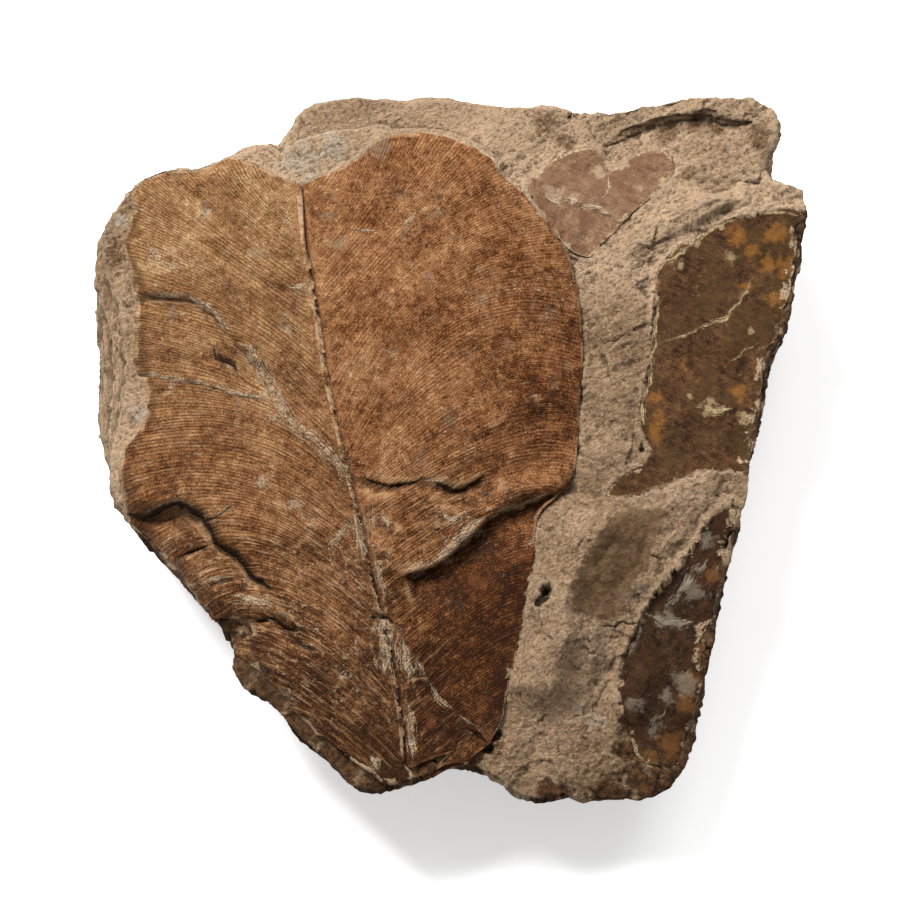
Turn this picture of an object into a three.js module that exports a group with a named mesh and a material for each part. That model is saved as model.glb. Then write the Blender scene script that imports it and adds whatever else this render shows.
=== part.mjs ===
// Fossil leaves in matrix: a broken block of bedded siltstone that lies on a flat bed, with four thin leaf
// films on its broken upper face. Millimetres, +Z up, +Y to the back. The resting face is z = 0, and the
// origin lies on it under the middle of the leaf face. Every outline and line is a list of [x, y] in plan.

import * as THREE from "three";

// Driving dimensions
const FACE_HEIGHT = 46; // leaf face above the resting face, at the middle
const FACE_RISE = 0.105; // rise of the leaf face for each millimetre towards the back
const FILM_THICKNESS = 0.6;
const FILM_GAP = 0.3; // clearance between a film and the stone under it
const EDGE_STEP = 4.2; // spacing of points along outlines and lines
const GROUND_STEP = 5.2; // spacing of points across open ground
const CLEARANCE = 2.3; // open ground and lines keep this far from an outline
const LEDGE_WIDTH = 1.4; // a ledge falls over this width
const LUMP_HEIGHT = 0.6; // unevenness of bare stone
const LUMP_SIZE = 9;
const BREAK_DEPTH = 1.7; // unevenness of the broken sides
const BREAK_SIZE = 13;
const BED_DRIFT = 0.6; // share of the unevenness that is new in each bed
const SPOT_FALLOFF = 1.7; // how fast a spot height gives way to the next one
const RIDGE_FADE = 0.15; // a ridge runs through a half wave, less this share of it at each end
const LEDGE_SPACING = 1.2; // least distance from a ledge point to any other
const RIDGE_SPACING = 2; // the same for a ridge point
const GROUND_SPACING = 0.72; // the same for open ground, as a share of GROUND_STEP
const GROUND_JITTER = 0.4; // scatter of the open ground points, as a share of GROUND_STEP
const GROUND_ROWS = 18; // rows of open ground points on each side of the origin
const FOOT_SMOOTHING = 4; // neighbours on each side that even out the edge of the resting face

// The brow of the stone, where its upper face turns down into the sides, clockwise from the front left
const BROW = [
  [-82, -15.5], [-84, -9.5], [-84.5, -2.5], [-82.5, 6], [-81, 15], [-81, 26], [-82, 36], [-86, 44],
  [-87, 51.5], [-86.5, 57], [-83, 62], [-77.5, 68.2], [-71, 70.7], [-62.5, 70.5], [-52.5, 74.5],
  [-45, 77], [-41.5, 79], [-39.5, 83.5], [-37, 87], [-31, 89.5], [-25, 90.5], [-12.5, 89],
  [-2.5, 89.5], [12.5, 88], [27.5, 86.5], [37.5, 85], [49, 86.5], [62.5, 88], [74, 88], [81, 86],
  [82.5, 83], [81, 77.5], [78.5, 72], [79.5, 68], [88, 65], [89.2, 61.5], [87.5, 48.5], [84, 31],
  [81.5, 26.5], [78.5, 21.5], [77.3, 11], [74.5, -5], [74.5, -9], [70, -23.5], [66, -42], [62.5, -60],
  [58.5, -73.5], [55.5, -80], [50.5, -84.5], [37.5, -85], [27.5, -84], [19, -85], [14, -82],
  [10, -79.5], [2, -77.5], [-5, -80], [-12.5, -83], [-19, -84], [-25.5, -81], [-32.5, -75.5],
  [-39, -70], [-43, -64.5], [-46, -61.5], [-52, -58], [-54.5, -52.5], [-53, -48.5], [-56, -45],
  [-62.5, -38.5], [-67.5, -31], [-72.5, -25.5], [-78, -20],
];

// How far the resting face reaches out beyond the brow, by compass degrees from +X: the left side flares,
// the front is undercut
const FLARE = [[0, -5], [45, 0], [90, 3], [135, 5], [168, 10], [178, 7], [186, -8], [205, -14], [225, -14],
  [270, -13], [315, -9], [360, -5]];

// Beds of the broken sides: [share of the way down, distance in or out]
const BEDS = [[0.08, 0.5], [0.19, -0.9], [0.25, 1], [0.4, 0.4], [0.45, -1.1], [0.6, 0.7], [0.66, -0.6],
  [0.8, 0.9], [0.93, 0.5], [1, -1.3]];

// The ground is a set of spot heights [x, y, height above the leaf face]. Each film has ground of its own.
const STONE_SPOTS = [
  // left rim and back left corner
  [-84.5, -5, -2.6], [-81.5, 12.5, -2.2], [-80.7, 27.5, -2.4], [-82.7, 40, -3], [-86, 47.5, -4.5],
  [-84.5, 53.7, -4], [-81.5, 60.7, -3.4], [-75.5, 67, -2], [-68.7, 69.5, -1.6], [-58.7, 70, -2],
  [-51, 73.2, -2],
  // bare patch at the tip of the large leaf
  [-45, 72.5, -0.8], [-38, 72.5, -0.6], [-28, 75, -0.9], [-22, 78, -0.6],
  // bench at the back, behind the rim
  [-38, 84, -2], [-25, 83, -3], [-12, 84, -3], [-25, 89, -1], [-12, 88, -1.4], [-3, 87, -1.5],
  [8, 84, -2],
  // back right, with its crest
  [18, 72, -3.5], [20, 80, -4], [28, 80, -3.6], [38, 80, -3.4], [47, 78, -3], [60, 76, -3],
  [70, 74, -2.6], [76, 71, -3], [12, 87, -3.4], [27, 86, -2], [38, 84.5, -1.6], [49, 85.5, 0],
  [62, 87.5, 1], [73, 87.5, 0.8], [80, 85, -1.2],
  // ramp and valley between the leaves
  [37.5, 46, -0.6], [47.5, 52.5, 0], [60, 61, 0.4], [72.5, 64.5, 0.4], [85, 64.5, 0], [87.5, 61, -0.6],
  [34, 37.5, -0.4], [37.5, 25, 0], [42.5, 12.5, 0], [37.5, 2.5, 0], [45, 37.5, 0.3], [47.5, 27.5, 0.3],
  [35, -7.5, -0.6],
  // right rim
  [86, 50, -4.5], [83, 30, -4.2], [78.5, 16, -3.5], [76, 4, -3.2],
  // front right slope
  [40, -13.7, 0.2], [50, -11.2, 0.8], [62.5, -8, 0.6], [72, -8.5, -0.8], [27.5, -15, 0],
  [24, -22.5, 0], [22, -37.5, -0.5], [19, -50, -1], [16.5, -62.5, -2], [13.5, -72.5, -3.5],
  [47.5, -27.5, -1.6], [42.5, -42.5, -2.6], [37.5, -57.5, -3.8], [30, -67.5, -5], [22.5, -76, -7],
  [37.5, -76, -8], [50, -47, -4], [60, -27.5, -3.4], [67.5, -17.5, -3], [70, -23, -5.5],
  [66, -42, -7.5], [61, -60, -9], [54, -76, -12], [20, -83, -11], [37.5, -84, -13], [50, -83.5, -14],
  [57.5, -73, -13],
  // front left rim, with the notch and the knob beside it
  [-52, -46, -10], [-53, -56, -5], [-56, -43, -5], [-66, -31, -5.5], [-72, -24.5, -6],
  [-78, -19, -5.5], [-83, -12, -3.4], [-43, -63.5, -4], [-36, -71.5, -4.5], [-26, -80, -5],
  [-19, -83, -5], [-5, -79, -4.5], [2, -77, -4.5], [10, -79, -6.5],
];
const STONE_LEDGES = [
  // rim of the leaf face above the bench at the back
  { line: [[12, 74.5], [5, 79], [-2.5, 81.5], [-16, 82], [-27.5, 81], [-37.5, 78.5], [-47, 76.5]],
    drop: [3, 8], reach: 60 },
  // crest over the hollow at the back right
  { line: [[43, 80], [52.5, 83], [62.5, 84.5], [72, 83]], drop: [1.8, 3.2], reach: 7 },
  // shelf above the ramp at the right
  { line: [[56, 70], [62, 68.5], [69, 68], [77, 68.5]], drop: [0.6, 2], reach: 5 },
];
const STONE_RIDGES = [
  // crest between the lit strip beside the large leaf and the front right slope
  { line: [[37.5, -18.7], [31, -27.5], [28, -37.5], [28, -47.5], [22.5, -55], [16.5, -60.5]], rise: 1.3,
    width: 3.5 },
];

const FILMS = [
  {
    name: "main_leaf",
    colour: 0x8d6342,
    outline: [
      [-80, -14], [-81.5, -7.5], [-81.5, -1], [-79, 2.5], [-75.7, 5.5], [-75.2, 12.5], [-75.5, 16],
      [-78, 19], [-78, 30], [-78, 37], [-79, 44], [-81.5, 51], [-79.7, 57], [-77, 62], [-72.5, 66.5],
      [-62.5, 67.5], [-51, 71.5], [-47.5, 70.5], [-44, 68], [-39, 66.5], [-32.5, 68], [-26, 70.5],
      [-22, 74], [-18.5, 78], [-14, 79.5], [-2.5, 79], [5, 76], [11, 72.5], [13.5, 68], [17, 65.5],
      [22.5, 59], [27.5, 53], [29.5, 48.5], [32, 40], [33, 30], [33.2, 20], [32.2, 10], [31.7, 0],
      [30.5, -7], [26.5, -12.5], [22.5, -15], [21, -20], [21, -27.5], [19, -35], [17.5, -46],
      [14.5, -57.5], [13.5, -64], [12, -70], [7.5, -75], [0, -75], [-7.5, -77.5], [-17, -80.5],
      [-23.5, -77.5], [-31, -72], [-37, -66.5], [-41, -61], [-47, -54], [-48, -49], [-49, -43],
      [-54, -40.5], [-60, -36.5], [-64.5, -31], [-69, -25], [-74.5, -19.5],
    ],
    spots: [
      [-77, 64, -1.2], [-79, 53, -1.6], [-77, 42, -1], [-60, 55, 0.2], [-50, 40, 0.4], [-35, 50, 0.4],
      [-60, 5, 0], [-75, -2, -0.6], [-60, -8, 0.2], [-45, -15, 0.3], [-40, 10, 0.5], [-30, 30, 0.5],
      [-10, 60, 0.2], [-8, 75, -0.8], [5, 60, 0], [-10, 35, 0.9], [5, 30, 0.8], [18, 40, 0],
      [28, 40, -1.8], [31, 25, -2.6], [31, 5, -2.4], [20, 15, -0.4], [10, 5, 0.4], [-10, 5, 0.6],
      [27, -5, -2.2], [-5, -15, -0.2], [5, -15, -1], [-15, -22, 0.2], [15, -8, -0.8], [12, -25, -3.5],
      [16, -38, -3.8], [8, -35, -3.2], [10, -52, -3.6], [2, -50, -2.6], [0, -65, -3], [8, -70, -4],
      [-20, -35, 0.2], [-18, -50, 0], [-14, -65, -1], [-30, -45, 0], [-35, -58, -0.6],
      [-25, -68, -1.6], [-18, -78, -3], [-35, -66, -2.6], [-8, -76, -3.2], [-42, -52, -1.2],
      [-45, -40, -1],
    ],
    ledges: [
      // broken edge above the sunken panel at the left
      { line: [[-40, 7], [-47, 20], [-53, 27.5], [-58, 32.5], [-64, 37], [-68, 38], [-76, 38.5]].reverse(),
        drop: [1.2, 0.5], reach: 20 },
      // crack along the front of that panel
      { line: [[-46, 12], [-55, 14.2], [-66, 17], [-77, 18]], drop: [0.4, 1], reach: 12 },
      // crease across the right half
      { line: [[-24, -6.5], [-18.7, -8.7], [-12.5, -9.7], [-6, -8], [3, -10.5], [9, -7]], drop: [1.2, 1.4],
        reach: 5 },
      // broken rim over the sunken panel at the front right
      { line: [[-11.2, -32], [-3.7, -30.8], [2, -27], [7, -20.8], [11.7, -15.5], [20, -12.5], [28, -8.5]],
        drop: [1.2, 1.6], reach: 12 },
      // fault at the front left, where the leaf has dropped towards the edge
      { line: [[-78, -16], [-71, -15.2], [-66, -15.2], [-61, -18], [-57.5, -23.2], [-52.5, -27],
        [-45, -35]], drop: [4.6, 0], reach: 60 },
    ],
    ridges: [
      { line: [[-24, -13], [-15, -13], [-5, -9], [8, -4]], rise: 0.9, width: 3 },
      { line: [[-12, -30], [-2, -26], [6, -18.5], [14, -12.5], [28, -8]], rise: 1.1, width: 4 },
      { line: [[7, 2], [18, 9], [30, 16]], rise: 0.8, width: 4 },
    ],
  },
  {
    name: "upper_leaf",
    colour: 0x97765c,
    outline: [
      [23, 64.5], [22.5, 69.5], [28, 74], [35, 76], [38.2, 74], [38.8, 69.5], [42, 70], [45.5, 74],
      [51, 75], [55.5, 74], [56, 70.5], [51, 65], [44, 59], [37.5, 52], [34.5, 50], [32.5, 52],
      [27.5, 58],
    ],
    spots: [[25, 68, -4.4], [36, 73, -3.4], [50, 72, -2.8], [32, 62, -4.2], [44, 62, -3], [36, 54, -2.8]],
    ledges: [{ line: [[25, 66], [31, 62.5], [36, 61.5], [41, 58.8]], drop: [0.8, 0.8], reach: 6 }],
    ridges: [],
  },
  {
    name: "right_leaf",
    colour: 0x62472f,
    outline: [
      [39.5, -11.5], [44, -7], [49, -4], [51, -1], [49.5, 2.5], [47.7, 6], [48.5, 12.5], [49.5, 18],
      [51, 25], [51, 31], [52, 39], [52.7, 44.5], [56, 49], [62.5, 53], [69, 56.5], [76, 58], [84, 60],
      [86, 57], [85, 48.5], [81.5, 32], [79.5, 26], [77, 20], [75.5, 11], [73, 1], [71.5, -3.5],
      [66, -5], [61, -5], [52.5, -7.5], [47.5, -9.5],
    ],
    spots: [
      [54, 40, -1.6], [68, 52, -1.6], [82, 56, -2.2], [84, 46, -3.4], [70, 30, -1.8], [79, 27, -3],
      [53, 12, -1.6], [62, 8, -1.8], [74, 3, -2.6], [48, -8, -2], [60, -2.5, -2],
    ],
    ledges: [],
    ridges: [],
  },
  {
    name: "lower_leaf",
    colour: 0x4a3625,
    outline: [
      [70, -13.5], [65, -18], [61, -24], [56, -31], [51, -36.5], [47.5, -43], [43.5, -51], [42, -58],
      [44.5, -66], [46, -73], [51, -77], [55, -74], [57, -66], [59, -59], [61, -51], [62.5, -42],
      [65, -32.5], [68, -22],
    ],
    spots: [
      [69, -15, -3.2], [61, -30, -4.2], [50, -43, -5], [60, -45, -6.2], [46, -58, -6.2], [57, -62, -8],
      [50, -74, -10.5], [56, -72, -11],
    ],
    ledges: [],
    ridges: [],
  },
];

// The hole in the stone beside the large leaf
const HOLE = { centre: [23.8, -36.2], radius: 2.1, depth: 4, sides: 6 };

const smoothstep = THREE.MathUtils.smoothstep;
const lerp = THREE.MathUtils.lerp;

/** Points at an even spacing along a smooth curve through [x, y] points. */
function along(points, closed) {
  const corners = points.map(([x, y]) => new THREE.Vector3(x, y, 0));
  const curve = new THREE.CatmullRomCurve3(corners, closed, "centripetal");
  const count = Math.max(3, Math.ceil(curve.getLength() / EDGE_STEP));
  const spaced = curve.getSpacedPoints(count).map((point) => [point.x, point.y]);
  return closed ? spaced.slice(0, -1) : spaced;
}

/** A repeatable value from 0 to 1 for whole numbers i and j. */
function scatter(i, j) {
  const value = Math.sin(i * 127.1 + j * 311.7) * 43758.5453;
  return value - Math.floor(value);
}

/** Smooth lumps from -1 to 1, one to each unit square. */
function lumps(x, y) {
  const i = Math.floor(x);
  const j = Math.floor(y);
  const u = smoothstep(x - i, 0, 1);
  const v = smoothstep(y - j, 0, 1);
  const near = lerp(scatter(i, j), scatter(i + 1, j), u);
  const far = lerp(scatter(i, j + 1), scatter(i + 1, j + 1), u);
  return 2 * lerp(near, far, v) - 1;
}

/** True where a point lies inside a closed outline. */
function inside(outline, x, y) {
  let within = false;
  outline.forEach(([ax, ay], i) => {
    const [bx, by] = outline[(i + 1) % outline.length];
    if (ay > y !== by > y && x < ax + ((y - ay) / (by - ay)) * (bx - ax)) within = !within;
  });
  return within;
}

/** Nearest place on a line: how far off it is, on its left (+) or right (-), and its share of the way. */
function nearest(line, x, y) {
  let best = { distance: Infinity, side: 1, share: 0 };
  for (let i = 0; i + 1 < line.length; i += 1) {
    const [ax, ay] = line[i];
    const dx = line[i + 1][0] - ax;
    const dy = line[i + 1][1] - ay;
    const t = THREE.MathUtils.clamp(((x - ax) * dx + (y - ay) * dy) / (dx * dx + dy * dy), 0, 1);
    const distance = Math.hypot(x - ax - t * dx, y - ay - t * dy);
    const side = Math.sign(dx * (y - ay) - dy * (x - ax));
    if (distance < best.distance) best = { distance, side, share: (i + t) / (line.length - 1) };
  }
  return best;
}

/** Height of a piece of ground at x, y: its spots, then what falls or rises beside its lines. */
function groundHeight(ground, x, y) {
  let sum = 0;
  let weight = 0;
  for (const [sx, sy, height] of ground.spots) {
    const w = 1 / ((x - sx) ** 2 + (y - sy) ** 2 + 1) ** SPOT_FALLOFF;
    sum += w * height;
    weight += w;
  }
  let height = FACE_HEIGHT + FACE_RISE * y + sum / weight;
  for (const { line, drop, reach } of ground.ledges) {
    const { distance, side, share } = nearest(line, x, y);
    if (side < 0) height -= lerp(drop[0], drop[1], share) * (1 - smoothstep(distance, 0, reach));
  }
  for (const { line, rise, width } of ground.ridges) {
    const { distance, share } = nearest(line, x, y);
    const wave = Math.sin(Math.PI * lerp(RIDGE_FADE, 1 - RIDGE_FADE, share));
    height += rise * wave * Math.exp(-((distance / width) ** 2));
  }
  return height;
}

/** Delaunay triangles over [x, y] points: each point in turn opens the triangles whose circle holds it. */
function triangulate(points) {
  const far = 2000;
  const all = [...points, [-far, -far], [far, -far], [0, far]];
  const triangle = (a, b, c) => {
    const [ax, ay] = all[a];
    const [bx, by] = [all[b][0] - ax, all[b][1] - ay];
    const [cx, cy] = [all[c][0] - ax, all[c][1] - ay];
    const twice = 2 * (bx * cy - by * cx);
    const ux = (cy * (bx * bx + by * by) - by * (cx * cx + cy * cy)) / twice;
    const uy = (bx * (cx * cx + cy * cy) - cx * (bx * bx + by * by)) / twice;
    return { corners: [a, b, c], x: ax + ux, y: ay + uy, square: ux * ux + uy * uy };
  };
  let triangles = [triangle(points.length, points.length + 1, points.length + 2)];
  points.forEach(([x, y], index) => {
    const rim = new Map();
    triangles = triangles.filter((t) => {
      if ((x - t.x) ** 2 + (y - t.y) ** 2 > t.square) return true;
      t.corners.forEach((a, k) => {
        const b = t.corners[(k + 1) % 3];
        if (!rim.delete(`${b} ${a}`)) rim.set(`${a} ${b}`, [a, b]);
      });
      return false;
    });
    for (const [a, b] of rim.values()) triangles.push(triangle(a, b, index));
  });
  return triangles.map((t) => t.corners).filter((corners) => Math.max(...corners) < points.length);
}

/** The [a, b] edges that only one of the triangles has. */
function openEdges(triangles) {
  const edges = new Map();
  for (const corners of triangles) {
    corners.forEach((a, k) => {
      const b = corners[(k + 1) % 3];
      if (!edges.delete(`${b} ${a}`)) edges.set(`${a} ${b}`, [a, b]);
    });
  }
  return [...edges.values()];
}

/** A named mesh from [x, y, z] vertices and triangles, without the vertices that no triangle uses. */
function makeMesh(name, vertices, triangles, colour, roughness) {
  const used = [...new Set(triangles.flat())];
  const place = new Map(used.map((vertex, index) => [vertex, index]));
  const geometry = new THREE.BufferGeometry();
  geometry.setAttribute("position", new THREE.Float32BufferAttribute(used.flatMap((v) => vertices[v]), 3));
  geometry.setIndex(triangles.flat().map((v) => place.get(v)));
  geometry.computeVertexNormals();
  const material = new THREE.MeshStandardMaterial({ color: colour, roughness, metalness: 0 });
  const mesh = new THREE.Mesh(geometry, material);
  mesh.name = name;
  return mesh;
}

// Plan of the upper face: the outlines first, then both sides of the ledges, the ridges and open ground
const brow = along(BROW, true);
const outlines = FILMS.map((film) => along(film.outline, true));
const stone = { spots: STONE_SPOTS, ledges: STONE_LEDGES, ridges: STONE_RIDGES };
const fixedLines = [brow, ...outlines].map((outline) => [...outline, outline[0]]);
const plan = [...brow, ...outlines.flat()];

function addPoint(x, y, spacing) {
  const clear = inside(brow, x, y) && fixedLines.every((line) => nearest(line, x, y).distance > CLEARANCE);
  if (clear && plan.every(([px, py]) => Math.hypot(px - x, py - y) > spacing)) plan.push([x, y]);
}

plan.push(HOLE.centre);
for (let i = 0; i < HOLE.sides; i += 1) {
  const turn = (2 * Math.PI * i) / HOLE.sides;
  plan.push([HOLE.centre[0] + HOLE.radius * Math.cos(turn), HOLE.centre[1] + HOLE.radius * Math.sin(turn)]);
}
for (const ground of [stone, ...FILMS]) {
  for (const { line } of ground.ledges) {
    const points = along(line, false);
    points.forEach(([x, y], i) => {
      const [ax, ay] = points[Math.max(i - 1, 0)];
      const [bx, by] = points[Math.min(i + 1, points.length - 1)];
      const length = Math.hypot(bx - ax, by - ay);
      const acrossX = ((ay - by) / length) * (LEDGE_WIDTH / 2);
      const acrossY = ((bx - ax) / length) * (LEDGE_WIDTH / 2);
      addPoint(x + acrossX, y + acrossY, LEDGE_SPACING);
      addPoint(x - acrossX, y - acrossY, LEDGE_SPACING);
    });
  }
  for (const { line } of ground.ridges) {
    along(line, false).forEach(([x, y]) => addPoint(x, y, RIDGE_SPACING));
  }
}
for (let row = -GROUND_ROWS; row <= GROUND_ROWS; row += 1) {
  for (let column = -GROUND_ROWS; column <= GROUND_ROWS; column += 1) {
    const aside = (row % 2) / 2 + GROUND_JITTER * (scatter(row, column) - 0.5);
    const ahead = GROUND_JITTER * (scatter(column, row + 3 * GROUND_ROWS) - 0.5);
    const x = (column + aside) * GROUND_STEP;
    const y = (row + ahead) * GROUND_STEP;
    addPoint(x, y, GROUND_SPACING * GROUND_STEP);
  }
}

// Upper face: heights of the plan's points, and the triangles that each film covers
const liesWithin = ([a, b, c], outline) => {
  const x = (plan[a][0] + plan[b][0] + plan[c][0]) / 3;
  const y = (plan[a][1] + plan[b][1] + plan[c][1]) / 3;
  return inside(outline, x, y);
};
const face = triangulate(plan).filter((corners) => liesWithin(corners, brow));
const covered = outlines.map((outline) => face.filter((corners) => liesWithin(corners, outline)));
const filmOf = new Map();
covered.forEach((triangles, film) => triangles.flat().forEach((vertex) => filmOf.set(vertex, FILMS[film])));

const surface = plan.map(([x, y], vertex) => {
  const film = filmOf.get(vertex);
  if (film) return groundHeight(film, x, y);
  const holeDepth = vertex === plan.indexOf(HOLE.centre) ? HOLE.depth : 0;
  return groundHeight(stone, x, y) + LUMP_HEIGHT * lumps(x / LUMP_SIZE, y / LUMP_SIZE) - holeDepth;
});

/** The stone: upper face, beds down the broken sides, and the flat resting face. */
function matrix() {
  const underFilm = (vertex) => (filmOf.has(vertex) ? FILM_THICKNESS + FILM_GAP : 0);
  const vertices = plan.map(([x, y], vertex) => [x, y, surface[vertex] - underFilm(vertex)]);
  const triangles = [...face];
  const count = brow.length;
  const foot = brow.map((_, i) => {
    const [x, y] = plan[i];
    const degrees = (THREE.MathUtils.radToDeg(Math.atan2(y, x)) + 360) % 360;
    const next = FLARE.findIndex(([angle]) => angle >= degrees && angle > 0);
    const [fromAngle, fromFlare] = FLARE[next - 1];
    const [toAngle, toFlare] = FLARE[next];
    const flare = lerp(fromFlare, toFlare, smoothstep(degrees, fromAngle, toAngle));
    const stretch = 1 + flare / Math.hypot(x, y);
    return [x * stretch, y * stretch];
  });
  const around = Array.from({ length: 2 * FOOT_SMOOTHING + 1 }, (_, k) => k - FOOT_SMOOTHING);
  const smoothFoot = foot.map((_, i) => {
    const near = around.map((step) => foot[(i + step + count) % count]);
    return [0, 1].map((axis) => near.reduce((sum, point) => sum + point[axis], 0) / near.length);
  });
  let above = brow.map((_, i) => i);
  BEDS.forEach(([share, ledge], bed) => {
    const ring = brow.map((_, i) => {
      const [x, y, z] = vertices[i];
      const distance = (i * EDGE_STEP) / BREAK_SIZE;
      const bedOut = ledge * (1 + lumps(distance / 2, bed));
      const breakOut = BREAK_DEPTH * lumps(distance, BED_DRIFT * bed - BEDS.length) * (1 - share ** 4);
      const stretch = 1 + (bedOut + breakOut) / Math.hypot(x, y);
      const px = lerp(x, smoothFoot[i][0], share) * stretch;
      const py = lerp(y, smoothFoot[i][1], share) * stretch;
      return vertices.push([px, py, z * (1 - share)]) - 1;
    });
    for (let i = 0; i < count; i += 1) {
      const j = (i + 1) % count;
      triangles.push([above[i], above[j], ring[j]], [above[i], ring[j], ring[i]]);
    }
    above = ring;
  });
  const contour = above.map((vertex) => new THREE.Vector2(vertices[vertex][0], vertices[vertex][1]));
  for (const [a, b, c] of THREE.ShapeUtils.triangulateShape(contour, [])) {
    triangles.push([above[c], above[b], above[a]]);
  }
  return makeMesh("matrix", vertices, triangles, 0xb09473, 0.95);
}

/** A leaf film: the face triangles that it covers, lifted off the stone and given its thickness. */
function leafFilm(film, triangles) {
  const size = plan.length;
  const vertices = [
    ...plan.map(([x, y], vertex) => [x, y, surface[vertex]]),
    ...plan.map(([x, y], vertex) => [x, y, surface[vertex] - FILM_THICKNESS]),
  ];
  const under = triangles.map(([a, b, c]) => [c + size, b + size, a + size]);
  const sides = openEdges(triangles).flatMap(([a, b]) => [[b, a, a + size], [b, a + size, b + size]]);
  return makeMesh(film.name, vertices, [...triangles, ...under, ...sides], film.colour, 0.8);
}

const fossil = new THREE.Group();
fossil.add(matrix());
FILMS.forEach((film, index) => fossil.add(leafFilm(film, covered[index])));

export default fossil;
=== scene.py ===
"""Looks of the fossil leaves in matrix: the rough stone, the veined leaf films, and the studio around them.

Places in the lists below are millimetres in plan, x to the right and y to the back. Blender's units are
metres.
"""

import math

import bmesh
import bpy
import numpy as np
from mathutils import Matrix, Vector, noise
from mathutils.bvhtree import BVHTree
from mathutils.kdtree import KDTree


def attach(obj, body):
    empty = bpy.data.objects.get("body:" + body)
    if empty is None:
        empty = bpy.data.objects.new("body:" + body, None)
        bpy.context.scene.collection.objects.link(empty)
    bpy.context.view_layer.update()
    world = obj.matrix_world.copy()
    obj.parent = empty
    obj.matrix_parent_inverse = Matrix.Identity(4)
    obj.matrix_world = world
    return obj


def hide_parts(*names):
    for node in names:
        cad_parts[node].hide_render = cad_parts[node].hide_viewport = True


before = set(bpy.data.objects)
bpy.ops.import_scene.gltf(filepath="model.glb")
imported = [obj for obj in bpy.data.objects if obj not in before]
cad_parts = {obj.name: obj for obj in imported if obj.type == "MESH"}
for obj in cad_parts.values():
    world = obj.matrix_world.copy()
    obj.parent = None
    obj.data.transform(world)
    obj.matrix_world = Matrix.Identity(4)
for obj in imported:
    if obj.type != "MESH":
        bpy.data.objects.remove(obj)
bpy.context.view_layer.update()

MM = 0.001
SKY = 90
DOWN = Vector((0, 0, -1))
UP = Vector((0, 0, 1))

# Camera: looks down on the leaf face, tipped a little towards the front
PICTURE_WIDTH = 223.6 * MM
CAMERA_ELEVATION = 75
CAMERA_DISTANCE = 1.4
CAMERA_AIM = Vector((0, -0.9 * MM, 46 * MM))
SENSOR = 36

# Light: a strong soft box behind on the left, a weaker one behind on the right, and an even fill. Together
# they are brighter than white, so that the floor washes out, and the surface colours are darker by as much.
KEY_PLACE = (-0.55, 0.75, 1.15)
KEY_SIZE = 0.6
KEY_POWER = 51
SIDE_PLACE = (0.5, 0.85, 1.2)
SIDE_SIZE = 0.8
SIDE_POWER = 10
LIGHT_AIM = Vector((0, 0, 0.04))
FILL = 0.33
FLOOR_SIZE = 6
FLOOR_WHITE = (0.9, 0.9, 0.9, 1)
FLOOR_GLOW = 0.46
BRIGHTNESS = 1.5
SPECULAR = 0.06
WHITE = (1, 1, 1, 1)

# Mesh: edge lengths of the stone's face, walls, covered parts and foot, and of the sides of a small film, the
# height of the foot, the angles past which edges of the frame stay sharp, and how often long edges are split
FACE_MESH = 0.5
WALL_MESH = 1.15
COVERED_MESH = 2.6
FOOT_MESH = 5.0
FILM_SIDE_MESH = 1.6
FOOT_HEIGHT = 1.0
STONE_KEEP_ANGLE = 40
FILM_KEEP_ANGLE = 50
SPLITS = 3

# Films: height of their upper side above the frame's stone, how much further the large one is lifted, and its
# thickness. The finished stone keeps a gap below the large film, and a smaller one below the small films. A
# point of the stone looks for a film over it from COVER_BELOW under itself, and for one beside it.
FILM_RISE = 0.9
FILM_LIFT = 0.12
FILM_DEPTH = 0.6
LARGE_FILM_GAP = 0.25
SMALL_FILM_GAP = 0.15
COVER_BELOW = 4.5
COVER_REACH = 10
MARGIN_SEARCH = 8

# The large leaf runs on past the margin of the frame's film, towards the brow of the stone, if that is within
# reach, and ends a gap short of it. The brow is where the ground falls by BROW_FALL in one step. The reach is
# longer along the front, where x is below the first number of FRONT_END, and y is between its second number
# and the left rim.
BROW_REACH = 5.5
FRONT_REACH = 10
FRONT_END = (-20, -76)
BROW_STEP = 0.3
BROW_FALL = 0.95
BROW_GAP = 0.7
# Else it goes a little way under the stone, as it does all along the left rim, which is given by its greatest
# x and its y from front to back. To the right of OPEN_MARGIN it ends on the stone instead.
TUCK = 0.7
TUCK_FALL = 0.5
LEFT_RIM = (-70, -13, 60)
OPEN_MARGIN = -8
OPEN_REACH = 0.2

# Veins of the large leaf: spacing, depth, steps of the mesh along a vein and how they crowd to the midrib.
# Guide veins are sampled along their length to a little past the end, and blurred over some rows.
VEIN_PITCH = 1.12
VEIN_DEPTH = 0.05
VEIN_STEPS = 46
VEIN_CROWDING = 1.2
VEIN_SAMPLES = 150
VEIN_END = 1.1
ROW_SAMPLES = 900
GUIDE_BLUR = 6

# Midrib of the large leaf, from the tip to the base and on past the broken edge
MIDRIB = [
    (-37.5, 67.5), (-37, 60), (-35.7, 48.7), (-34, 39), (-32.5, 30), (-30.7, 17.5), (-28, 5),
    (-25.5, -6.2), (-23, -16.2), (-21.2, -25), (-18.7, -35), (-16.2, -45), (-14.2, -52.5), (-13, -60),
    (-11.7, -70), (-10.5, -82.5), (-9.5, -92.5), (-8.5, -108),
]
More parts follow.
